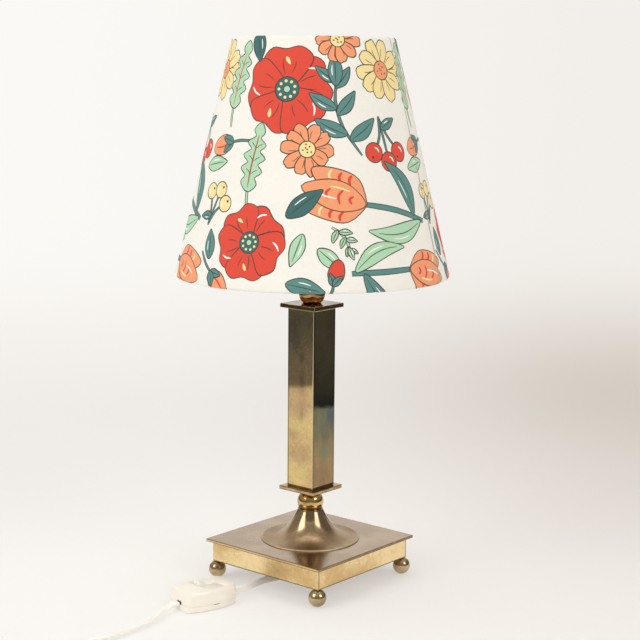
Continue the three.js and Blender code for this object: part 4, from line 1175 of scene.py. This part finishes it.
def fern(length, tint="mint", rib="red", lobes=5):
    rows = []
    for k in range(lobes):
        t = (k + 0.5) / lobes
        half = 0.2 * math.sin(math.pi * (0.18 + 0.74 * t))
        rows += [(t - 0.07, half * 0.45), (t + 0.03, half)]
    lower = [(x - 0.02, -y * 0.95) for x, y in rows[::-1]]
    layers = stem([(-0.3, -0.08), (-0.12, -0.03), (0.08, 0)], 1.5, tint, grow=length)
    layers += patch([(0, 0), *rows, (1.04, 0), *lower], tint, per=3, grow=length)
    layers += stroke([(0.05, 0), (0.4, 0.015), (0.85, 0)], 1.3, rib, grow=length)
    for t in (0.25, 0.45, 0.65):
        for side in (1, -1):
            layers += stroke([(t, 0), (t + 0.05, side * 0.05), (t + 0.08, side * 0.1)], 0.6, grow=length)
    return layers


def berries(size, tint="red"):
    spots = np.array([(0.7, 0.55), (0.95, -0.05), (0.5, -0.6)]) * size
    layers = []
    for spot in spots:
        layers += stem([(-size * 0.7, 0), (0, spot[1] * 0.3), spot], 1.3, "teal")
    layers += placed(leaf(size * 0.75, size * 0.34, "teal"), 1.9, (-size * 0.25, 0))
    r = size * 0.34
    for spot in spots:
        ball = patch(circle(r, 8), tint) + stroke([(-0.5, 0.2), (-0.3, 0.5), (0.1, 0.6)], 1.3, "white", grow=r)
        layers += placed(ball + placed(patch(circle(1.2, 4), "ink", 0, 2), 0, (r * 0.45, -r * 0.3)), 0, spot)
    return layers


def bud(length, tint="salmon"):
    layers = stem([(-0.9, 0.1), (-0.4, 0), (0, 0)], 1.4, "teal", grow=length)
    outline = [(0, 0), (0.3, 0.3), (0.8, 0.24), (1, 0), (0.8, -0.24), (0.3, -0.3)]
    layers += patch(outline, tint, grow=length)
    layers += stroke([(0.2, 0), (0.5, 0.06), (0.85, 0)], 1.6, "red", grow=length)
    for side in (0.5, -0.5):
        layers += placed(leaf(length * 0.5, length * 0.26, "teal", shine=False), side, (-1, 0))
    return layers


# Motif, its sizes, share of the repeat, height above the lower edge, turn in degrees
REPEAT = [
    (poppy, (36,), 0.20, 166, 20), (sprig, (80, "teal"), 0.54, 112, 96),
    (daisy, (25, "straw", "salmon"), 0.715, 182, 0), (fern, (54, "mint", "red"), 0.895, 150, 84),
    (bud, (26,), 0.94, 121, 192), (berries, (23,), 0.66, 128, -80),
    (daisy, (21, "salmon", "straw"), 0.305, 117, 0), (fern, (54, "mint", "wine"), 0.06, 82, 84),
    (poppy, (31,), 0.10, 40, 50), (tulip, (104,), 0.53, 72, 160), (tulip, (92,), 0.70, 17, -12),
    (leaf, (36, 15, "pine"), 0.235, 62, 40), (leaf, (32, 14, "teal"), 0.245, 8, -10),
    (berries, (19, "straw"), 0.90, 64, 75), (leaf, (28, 12, "mint"), 0.79, 100, 12),
    (daisy, (19, "salmon", "straw"), 0.46, 207, 0), (leaf, (26, 12, "pine"), 0.99, 214, -75),
    (leaf, (26, 12, "mint"), 0.35, 36, -40), (bud, (20, "red"), 0.40, 8, 75),
    (leaf, (24, 11, "teal"), 0.93, 24, 100), (bud, (25,), 0.95, 13, 320),
    (sprig, (29, "mint"), 0.398, 54, 300), (leaf, (27, 11, "mint"), 0.295, 48, 250),
]


def on_cut(swing, climb):
    """Flat point of the cut, with the cone's tip at the middle."""
    reach = CUT_OUTER - np.asarray(climb, float)
    return np.stack([reach * np.sin(swing), -reach * np.cos(swing)], -1)


def printed_layers():
    """Every coloured outline of the print on the flat cut, from the lowest layer up."""
    repeat = CUT_ANGLE / REPEATS
    layers = []
    for motif, sizes, share, climb, turn in REPEAT:
        drawing = placed(motif(*sizes), math.radians(turn))
        for k in range(-1, REPEATS + 1):
            swing = (share + PRINT_SHIFT + k) * repeat
            layers += placed(drawing, swing, on_cut(swing, climb))
    return layers


def cut_polar(points):
    """Distance from the cone's tip and angle of flat points."""
    return np.hypot(*points.T), np.arctan2(points[:, 0], -points[:, 1])


def loop_edges(first, count):
    return [(first + k, first + (k + 1) % count) for k in range(count)]


def within(points, outline):
    """Which of the points an outline goes round."""
    near = np.flatnonzero(np.all((points >= outline.min(0)) & (points <= outline.max(0)), 1))
    x, y = points[near].T[:, :, None]
    (x0, y0), (x1, y1) = outline.T, np.roll(outline, -1, 0).T
    side = (x1 - x0) * (y - y0) - (x - x0) * (y1 - y0)
    rounds = ((y0 <= y) & (y1 > y) & (side > 0)).sum(1) - ((y0 > y) & (y1 <= y) & (side < 0)).sum(1)
    return near[rounds != 0]


def printed_sheet():
    """Triangles of the flat cut that follow every outline, with their colours."""
    across = np.linspace(0, CUT_END, math.ceil(CUT_END * CUT_OUTER / CUT_STEP))
    roll = ROLL_R * math.pi * np.arange(BEND_STEPS + 1) / BEND_STEPS
    straight = np.linspace(LOW_BEND, HIGH_BEND, round(SLANT / CUT_STEP))
    climbs = np.unique(np.concatenate([straight, LOW_BEND - roll, HIGH_BEND + roll, [CUT_LOW, CUT_HIGH]]))
    inner = climbs[1:-1]
    border = np.concatenate([on_cut(across, CUT_LOW), on_cut(np.full(len(inner), CUT_END), inner),
                             on_cut(across[::-1], CUT_HIGH), on_cut(0, inner[::-1])])
    points, edges, layers = [*border], loop_edges(0, len(border)), []
    lapped = np.linspace(CUT_END - 1.4 * LAP / CUT_OUTER, CUT_END, LAP_STEPS)
    columns = np.unique(np.concatenate([across[1:-1], lapped[1:-1]]))
    for climb in inner:
        points += [*on_cut(columns, climb)]
    for outline, tint in printed_layers():
        reach, swing = cut_polar(outline)
        if reach.max() > LOW_REACH and reach.min() < HIGH_REACH and swing.max() > 0 and swing.min() < CUT_END:
            edges += loop_edges(len(points), len(outline))
            points += [*outline]
            layers.append((outline, tint))
    corners, _, triangles, *_ = delaunay_2d_cdt([Vector(p) for p in points], edges, [], 0, 1e-4, False)
    corners, triangles = np.array([tuple(c) for c in corners]), np.array(triangles)
    middles = corners[triangles].mean(1)
    tints = np.full(len(triangles), "ground", object)
    for outline, tint in layers:
        tints[within(middles, outline)] = tint
    reach, swing = cut_polar(middles)
    # Painted shadow: a darker line along the edge of the lap
    tints[swing > CUT_END - SEAM_SHADOW_WIDTH / CUT_OUTER] = "seam"
    kept = (reach > LOW_REACH) & (reach < HIGH_REACH) & (swing > 0) & (swing < CUT_END)
    return corners, triangles[kept], tints[kept]


def make_fabric():
    corners, triangles, tints = printed_sheet()
    reach, swing = cut_polar(corners)
    mesh = bpy.data.meshes.new("shade_cloth")
    mesh.from_pydata([tuple(p) for p in on_shade(swing, CUT_OUTER - reach) * MM], [], triangles.tolist())
    shades = {name: colour(code) for name, code in PALETTE.items()}
    tones = np.repeat([shades[tint] for tint in tints], 3, axis=0)
    layer = mesh.attributes.new("print", "FLOAT_COLOR", "CORNER")
    layer.data.foreach_set("color", tones.astype(np.float32).ravel())
    flat = corners[triangles].reshape(-1, 2) * MM
    mesh.uv_layers.new(name="cut").data.foreach_set("uv", flat.astype(np.float32).ravel())
    mesh.materials.append(PRINTED)
    work = bmesh.new()
    work.from_mesh(mesh)
    bmesh.ops.delete(work, geom=[v for v in work.verts if not v.link_faces], context="VERTS")
    if sum(f.normal.dot(Vector((*f.calc_center_median().xy, 0))) * f.calc_area() for f in work.faces) < 0:
        bmesh.ops.reverse_faces(work, faces=work.faces)
    work.to_mesh(mesh)
    work.free()
    mesh.shade_smooth()
    cloth = walled(shown(mesh, SHADE, "print_fabric", "shade_fabric"), FABRIC_T)


LINING_GAP = 0.95
LINING_T = 0.4
LINING_MARGIN = 2.5
LINING_STEPS = 24
LINING_AROUND = 120


def make_lining():
    climbs = np.linspace(LINING_MARGIN, SLANT - LINING_MARGIN, LINING_STEPS)
    rings = []
    for depth, order in ((LINING_GAP, climbs), (LINING_GAP + LINING_T, climbs[::-1])):
        for climb in order:
            r = SHADE_BOTTOM_R - climb * LEAN_SINE - depth * LEAN_COSINE
            rings.append((r, climb * LEAN_COSINE - depth * LEAN_SINE + SHADE_Z, 0.0))
    mesh = turned("shade_backing", rings, LINING, LINING_AROUND)
    flat = mesh.uv_layers.new(name="cut").data
    place = np.array([v.co for v in mesh.vertices])
    swing = np.arctan2(place[:, 1], place[:, 0]) * LEAN_SINE
    reach = CUT_OUTER * MM - (place[:, 2] - SHADE_Z * MM) / LEAN_COSINE
    for loop in mesh.loops:
        k = loop.vertex_index
        flat[loop.index].uv = (reach[k] * math.sin(swing[k]), -reach[k] * math.cos(swing[k]))
    backing = shown(mesh, SHADE, "lining", "shade_lining")


RING_BELOW = 2.5
HUB_BELOW = 10
HUB_BORE = 10.8
HUB_R = 21
SPOKE_DIP = 11.2


def make_spider():
    """Top ring, three wires that dip to the hub, and the hub."""
    top = SHADE_Z + SHADE_H
    ring_z, hub_z = top - RING_BELOW, top - HUB_BELOW
    edge = SHADE_TOP_R + (RING_BELOW + WIRE_R) * LEAN_SINE - 1.5 - WIRE_R
    section = [(edge + WIRE_R * math.cos(a), ring_z + WIRE_R * math.sin(a), 0.0) for a in bearings(14)]
    ring = turned("spider_ring", section, WHITE_WIRE, 120)
    hub = turned("spider_hub", soften(oblong(HUB_BORE, HUB_R, hub_z, hub_z + PLATE_T), 0.4), WHITE_WIRE)
    under = ring_z - SPOKE_DIP
    path = [(edge, ring_z), (edge + WIRE_R, under + WIRE_R), (edge - 4, under - WIRE_R), (edge / 2, under),
            (HUB_R - 1.5, hub_z + SPOKE_R + 0.1)]
    whole = joined("spider_frame", ring, hub, wires("spider_wires", path, 0.0))
    shown(whole, SHADE, "white_wire", "shade_top_ring")


make_fabric()
make_lining()
make_spider()


# In-line switch
SWITCH_PLAN = [(0, 14.6), (0.03, 15.4), (0.3, 18.4), (0.5, 19.3), (0.7, 18.9), (0.92, 15.6), (1, 12)]
SWITCH_H = 17.0
SWITCH_BASE_Z = 0.4
SWITCH_SPLIT = 5.2
SWITCH_GROOVE = 0.14
SWITCH_SHOULDER = 14.2
SWITCH_ROUND = 2.2
SWITCH_LEAN = 4.0
ROCKER_L = 15.0
ROCKER_W = 10.0
ROCKER_AT = 29.0
ROCKER_SIDE = -4.5
ROCKER_TILT = math.radians(11)
ROCKER_TOP = 2.0
ROCKER_RISE = 1.6
ROCKER_DEPTH = 4.2
PIN_Z = 15.0
WELL_GAP = 0.6
WELL_FLOOR = 9.8
NOTCH_FROM = 24.0
NOTCH_TO = 29.4
NOTCH_H = 0.55
NOTCH_OUT = 0.06
NOTCH_IN = 0.4
MOUTH_GROW = 1.28
MOUTH_OUT = 0.12
MOUTH_DEEP = 1.5
# Inset and share of the width of the rocker's outlines, from one side to the other
ROCKER_RINGS = [(0.7, -0.5), (0.2, -0.45), (0, -0.4), (0, 0.4), (0.2, 0.45), (0.7, 0.5)]


def switch_ring(inset, z):
    """Plan of the case at a height, drawn in, with its plug end leaning back."""
    right = [(half, share * SWITCH_L) for share, half in SWITCH_PLAN]
    left = [(-x, y) for x, y in right[::-1]]
    plan = soften([*right, *left], 3.0, 4, reach=3.0, fall=1.0, sharp=0.2)[:, :2]
    plan = plan - sideways(plan, True) * inset
    lean = SWITCH_LEAN * z / SWITCH_H
    return switch_place(plan[:, 0], plan[:, 1] + lean * (1 - plan[:, 1] / SWITCH_L), z)


def make_cases():
    """Lower case, and upper case with a rounded top edge and a well for the rocker."""
    foot, split = SWITCH_BASE_Z, SWITCH_SPLIT
    levels = [(0.9, foot), (0.3, foot + 0.25), (0, foot + 0.9), (0, split - 0.3), (SWITCH_GROOVE, split - 0.1)]
    lower = lofted("switch_body_lower", [switch_ring(*level) for level in levels], CREAM)
    levels = [(SWITCH_GROOVE, split), (0, split + 0.2), (0.1, 10.5)]
    for a in np.linspace(0, QUARTER, 6):
        inset, rise = SWITCH_ROUND * (1 - math.cos(a)), (SWITCH_H - SWITCH_SHOULDER) * math.sin(a)
        levels.append((inset, SWITCH_SHOULDER + rise))
    rings = [switch_ring(*level) for level in levels]
    half_w, half_l = ROCKER_W / 2 + WELL_GAP, ROCKER_L / 2 + WELL_GAP
    rim = soften(oblong(-half_w, half_w, -half_l, half_l), 1.0, 3, reach=50)[:, :2]
    well = [switch_place(rim[:, 0] + ROCKER_SIDE, rim[:, 1] + ROCKER_AT, z) for z in (SWITCH_H, WELL_FLOOR)]
    around, count = len(rings[0]), len(rings)
    points = np.concatenate([*rings, *well])
    first = count * around
    deep = first + len(rim)
    top_ids, well_ids = [*range(first - around, first)], [*range(first, deep)]
    outlines = [[Vector(points[k]) for k in ids] for ids in (top_ids, well_ids)]
    every = top_ids + well_ids
    faces = ring_faces(count, around, False) + [tuple(range(around))[::-1]]
    faces += [tuple(every[k] for k in triangle) for triangle in tessellate_polygon(outlines)]
    faces += ring_faces(2, len(rim), False, first) + [tuple(range(deep, deep + len(rim)))]
    upper = meshed("switch_body_upper", points, faces, CREAM)
    return [shown(lower, STAND, "cream_plastic", "switch_lower_case"),
            shown(upper, STAND, "cream_plastic", "switch_upper_case")]


def make_rocker():
    """Rocker with two sloping faces, tipped so that its plug side stands up."""
    half, deep, crest = ROCKER_L / 2, ROCKER_DEPTH, ROCKER_TOP + ROCKER_RISE
    side = [(-half, -deep / 2), (0, -deep), (half, -deep / 2), (half, crest), (0, ROCKER_TOP), (-half, crest)]
    outline = soften(side, 0.8, 4, reach=3.0, fall=0.6, sharp=0.15)[:, :2]
    rings = []
    for inset, across in ROCKER_RINGS:
        drawn = outline - sideways(outline, True) * inset
        along, up = swung(drawn[:, 0], drawn[:, 1], -ROCKER_TILT)
        rings.append(switch_place(ROCKER_SIDE + across * ROCKER_W, ROCKER_AT + along, PIN_Z + up))
    return shown(lofted("switch_rocker_cap", rings, WHITE_PLASTIC), ROCKER, "rocker_plastic", "switch_rocker")


def pry_notch():
    """Painted shade: a dark slit in the parting line, where the case is prised open."""
    shares, halves = np.array(SWITCH_PLAN).T
    rings = []
    for along in np.linspace(NOTCH_FROM, NOTCH_TO, 9):
        out = np.interp(along / SWITCH_L, shares, halves)
        share = np.interp(along, (NOTCH_FROM, NOTCH_TO), (0.1, 0.9))
        tall = NOTCH_H / 2 * math.sin(math.pi * share) ** 0.4
        across = np.array([-NOTCH_IN, NOTCH_OUT, NOTCH_OUT, -NOTCH_IN]) + out
        rings.append(switch_place(across, along, SWITCH_SPLIT + tall * np.array([-1, -1, 1, 1])))
    return lofted("pry_notch", rings, RECESS_SHADE)


def make_mouths():
    """Painted shade: dark oval mouths around the flex at both ends of the case, and the slit in its side."""
    parts = []
    for along, inward in ((SWITCH_LEAN * LEAD_Z / SWITCH_H, 1), (SWITCH_L, -1)):
        oval = flex_section(7)[:, ::inward] * MOUTH_GROW
        depths = (along - MOUTH_OUT * inward, along + MOUTH_DEEP * inward)
        rings = [switch_place(oval[:, 0], depth, LEAD_Z + oval[:, 1]) for depth in depths]
        parts.append(lofted(f"mouth_{len(parts)}", rings, RECESS_SHADE))
    return shown(joined("switch_mouths", *parts, pry_notch()), STAND, "cream_plastic")


switch_pieces = [*make_cases(), make_rocker(), make_mouths()]


# Plug and tie
PLUG_AT = (109.24, -291.32)
PLUG_TURN = math.radians(38)
PLUG_Z = 7.1
# Distance along the plug, half width, half height
PLUG_SECTIONS = [(0, 4.2, 4.2), (14, 5.2, 5), (22, 12, 6.2), (30, 17, 6.8), (38, 17.4, 6.9)]
PLUG_SQUARENESS = 0.6
PLUG_PIN_R = 2.0
PLUG_PIN_L = 19.0
PIN_SPREAD = 9.3
PIN_SIDES = 24
RELIEF_L = 14
RELIEF_RIBS = 4
RELIEF_DEPTH = 0.35
TIE_ANGLE = math.radians(60)
TIE_W = 5
TIE_T = 0.7
TIE_GAP = 0.4


def plug_place(along, across, up):
    return set_down(PLUG_AT, PLUG_TURN, along, across, PLUG_Z + up)


def make_plug():
    shape = circle(1, 32)
    shape = np.sign(shape) * np.abs(shape) ** PLUG_SQUARENESS
    rings = []
    for along, wide, tall in smooth(PLUG_SECTIONS, 8, closed=False):
        wave = math.sin(FULL_TURN * along * RELIEF_RIBS / RELIEF_L)
        rib = RELIEF_DEPTH * wave if along < RELIEF_L else 0.0
        ends = 0.9 if along > PLUG_SECTIONS[-1][0] - 0.5 else 1.0
        rings.append(plug_place(along, shape[:, 0] * (wide * ends + rib), shape[:, 1] * (tall * ends + rib)))
    body = shown(lofted("plug_shell", rings, WHITE_PLASTIC), STAND, "cream_plastic", "plug_body")
    profile = soften(oblong(0.02, PLUG_PIN_R, 0, PLUG_PIN_L), 1.2)
    start = PLUG_SECTIONS[-1][0] + 0.1
    pins = []
    for side in (-PIN_SPREAD, PIN_SPREAD):
        rings = []
        for r, z, _ in profile:
            spots = circle(r, PIN_SIDES)
            rings.append(plug_place(start + z, side + spots[:, 0], spots[:, 1]))
        pins.append(meshed(f"pin_{len(pins)}", rings, ring_faces(len(rings), PIN_SIDES, True), NICKEL))
    return [body, shown(joined("plug_pins", *pins), STAND, "nickel", "plug_pin_1", "plug_pin_2")]


def make_tie():
    """Flat strap around the turns of the coil."""
    beside, above = COIL_PITCH * COIL_TURNS / 4 + FLEX_T / 2 + TIE_GAP, FLEX_W / 2 + TIE_GAP
    corners = oblong(COIL_MEAN_R - beside, COIL_MEAN_R + beside, COIL_Z - above, COIL_Z + COIL_LAYER + above)
    path = soften(corners, 2.0, 4, reach=4.0)[:, :2]
    out = sideways(path, True)
    rings = []
    for depth, across in ((0, -0.5), (TIE_T, -0.5), (TIE_T, 0.5), (0, 0.5)):
        loop = path + out * depth
        rings.append(set_down(COIL_CENTRE, TIE_ANGLE, loop[:, 0], across * TIE_W, loop[:, 1]))
    mesh = meshed("coil_strap", rings, ring_faces(4, len(path), True), TIE)
    return shown(mesh, STAND, "tie", "coil_tie")


plug_pieces = [*make_plug(), make_tie()]

# Finishes of the solids that stay
KEPT_FINISHES = {
    "brass": BRASS_COLUMN, "holder_brass": BRASS_HOLDER, "contact_brass": BRASS_HOLDER, "steel": STEEL,
    "nickel": NICKEL, "porcelain": PORCELAIN, "white_wire": WHITE_WIRE, "flex_pvc": PVC, "cream_plastic": CREAM,
}
for row in frame["record"]["subparts"]:
    solid = nodes[row["node"]]
    if not solid.hide_render:
        solid.data.materials.clear()
        solid.data.materials.append(KEPT_FINISHES[row["material_slot"]])


# Stage, in metres: pale floor, pale surroundings, soft lamps, and dark cards that only metal sees
PALE_LEFT = colour("FBF9F5")
PALE_RIGHT = colour("F2EEE9")
# Painted shade: the dim belt on the floor behind the lamp, darker towards the right
DIM_LEFT = colour("F2EEEA")
DIM_RIGHT = colour("D4CBC1")
ASIDE = (-0.2, 0.22)
FLOOR_R = 14.0
FLOOR_SIDES = 96
# Painted light: the lit floor's colour is made lighter towards the right, where less lamplight falls
FLOOR_SHADE_LEFT = (0.985, 0.985, 0.995, 1)
FLOOR_SHADE_RIGHT = (1.06, 1.07, 1.085, 1)
AMBIENT = 0.585
SHADOW_FILL = 0.5
LIT_REACH = (0.4, 1.1)
VIEWER_AWAY = 1.32
DIM_AWAY = 2.1
DIM_SPREAD = 0.35
LAMP_AIM = UP * 0.25
# Name, place, watts, size, aim and whether metal mirrors it
LAMPS = [
    ("key_lamp", -AHEAD * 1.1 - RIGHT * 1.8 + UP * 1.7, 17, (1.3, 1.3), LAMP_AIM, True),
    ("fill_lamp", -AHEAD * 1.3 + RIGHT * 1.7 + UP * 1.5, 11.6, (1.1, 1.1), LAMP_AIM, True),
    ("top_lamp", AHEAD * 0.3 + UP * 2.2, 9, (1.8, 1.2), LAMP_AIM, True),
    ("front_lamp", -AHEAD * 2.2 + UP * 0.8, 6.2, (1.4, 1.0), LAMP_AIM, False),
    ("through_shade", UP * 0.39, 0.5, (0.09, 0.09), UP, False),
    ("left_lamp", -RIGHT * 2.3 + AHEAD * 0.2 + UP * 0.8, 3.2, (1.0, 1.0), LAMP_AIM, False),
]
LOW, TALL = UP * 0.075, UP * 1.1
# Name, middle, half of each side, tone
CARDS = [
    ("card_left", -RIGHT * 0.838 + LOW, AHEAD * 1.4, LOW, (0.1, 0.11, 0.135)),
    ("card_right", RIGHT * 0.705 + LOW, AHEAD * 1.4, LOW, (0.06, 0.066, 0.085)),
    ("card_left_wall", -RIGHT * 2.2 + TALL, AHEAD * 2.2, TALL, (0.4, 0.376, 0.344)),
    ("card_right_wall", RIGHT * 2.2 + TALL, AHEAD * 2.2, TALL, (0.25, 0.235, 0.215)),
    ("card_front", -AHEAD * 2.2 + TALL, RIGHT * 2.2, TALL, (0.28, 0.263, 0.24)),
    ("card_above", UP * 2.6, RIGHT * 2.4, AHEAD * 2.4, (0.5, 0.47, 0.43)),
]


def seen_directly(g):
    """1 for the camera, for gloss and through glass; 0 for light that falls on the lamp."""
    path = g.add("ShaderNodeLightPath", {})
    seen = g.plus(path["Is Camera Ray"], path["Is Glossy Ray"])
    return g.calc("ADD", seen, path["Is Transmission Ray"], clamp=True)


def make_floor():
    """Round floor, lit around the lamp, and further out as pale as the surroundings, with a belt of painted shade
    behind and its lit colour painted lighter towards the right.
    """
    mesh = bpy.data.meshes.new("floor")
    rings = np.geomspace(0.3, FLOOR_R, 12)
    points = [(r * math.cos(a), r * math.sin(a), 0) for r in rings for a in bearings(FLOOR_SIDES)]
    faces = [tuple(range(FLOOR_SIDES))] + ring_faces(len(rings), FLOOR_SIDES, False)
    mesh.from_pydata(points, [], faces)
    f = Finish("pale_floor", Roughness=0.9, Specular_IOR_Level=0.1)
    place = f.add("ShaderNodeTexCoord", {})["Object"]
    seen_from = f.vector("ADD", place, AHEAD * VIEWER_AWAY)["Vector"]
    away = f.vector("LENGTH", seen_from)["Value"]
    aside = f.vector("DOT_PRODUCT", seen_from, RIGHT)["Value"]
    rightward = f.ramp(f.calc("DIVIDE", aside, away), *ASIDE)
    depth = f.calc("LOGARITHM", f.calc("DIVIDE", away, DIM_AWAY), math.e)
    depth = f.calc("DIVIDE", depth, DIM_SPREAD)
    shade_belt = f.calc("POWER", math.e, f.times(f.times(depth, depth), -1.0))
    pale = f.blend(rightward, PALE_LEFT, PALE_RIGHT)
    dim = f.blend(f.calc("POWER", rightward, 2.0), DIM_LEFT, DIM_RIGHT)
    tint = f.blend(shade_belt, pale, dim)
    shade = f.blend(rightward, FLOOR_SHADE_LEFT, FLOOR_SHADE_RIGHT)
    f.dress(Base_Color=f.blend(1.0, f.blend(0.5, pale, tint), shade, "MULTIPLY"))
    glow = f.add("ShaderNodeEmission", {"Color": tint})[0]
    middle = f.vector("LENGTH", place)["Value"]
    own = f.times(f.ramp(middle, *LIT_REACH, SHADOW_FILL, 1.0), seen_directly(f))
    both = f.add("ShaderNodeMixShader", {0: own, 1: f.shader.outputs[0], 2: glow})[0]
    mesh.materials.append(f.surface(both))
    put("floor", mesh)


def make_world():
    world = bpy.data.worlds.new("surroundings")
    world.use_nodes = True
    g = Graph(world.node_tree)
    way = g.add("ShaderNodeTexCoord", {})["Generated"]
    aside = g.vector("DOT_PRODUCT", way, RIGHT)["Value"]
    shade = g.tree.nodes["Background"].inputs
    g.feed(shade["Color"], g.blend(g.ramp(aside, *ASIDE), PALE_LEFT, PALE_RIGHT))
    g.feed(shade["Strength"], g.ramp(seen_directly(g), 0.0, 1.0, AMBIENT, 1.0))
    bpy.context.scene.world = world


def soft_lamp(name, at, watts, size, aim, mirrored):
    data = bpy.data.lights.new(name, "AREA")
    data.energy, data.shape = watts, "RECTANGLE"
    data.size, data.size_y = size
    lamp = put(name, data)
    lamp.location = at
    lamp.rotation_euler = (aim - at).to_track_quat("-Z", "Y").to_euler()
    if not mirrored:
        lamp.visible_glossy = lamp.visible_camera = False


def dark_card(name, middle, across, up, tone):
    """Card that shows its tone in reflections and is otherwise not there."""
    mesh = bpy.data.meshes.new(name)
    corners = [middle + across * a + up * b for a, b in oblong(-1, 1, -1, 1)]
    mesh.from_pydata([tuple(c) for c in corners], [], [(0, 1, 2, 3)])
    f = Finish(f"{name}_tone", Roughness=1.0)
    mesh.materials.append(f.surface(f.add("ShaderNodeEmission", {"Color": (*tone, 1)})[0]))
    card = put(name, mesh)
    for way in ("camera", "diffuse", "shadow", "transmission", "volume_scatter"):
        setattr(card, f"visible_{way}", False)


make_floor()
make_world()
for lamp in LAMPS:
    soft_lamp(*lamp)
for card in CARDS:
    dark_card(*card)
bpy.context.scene.view_settings.view_transform = "Standard"
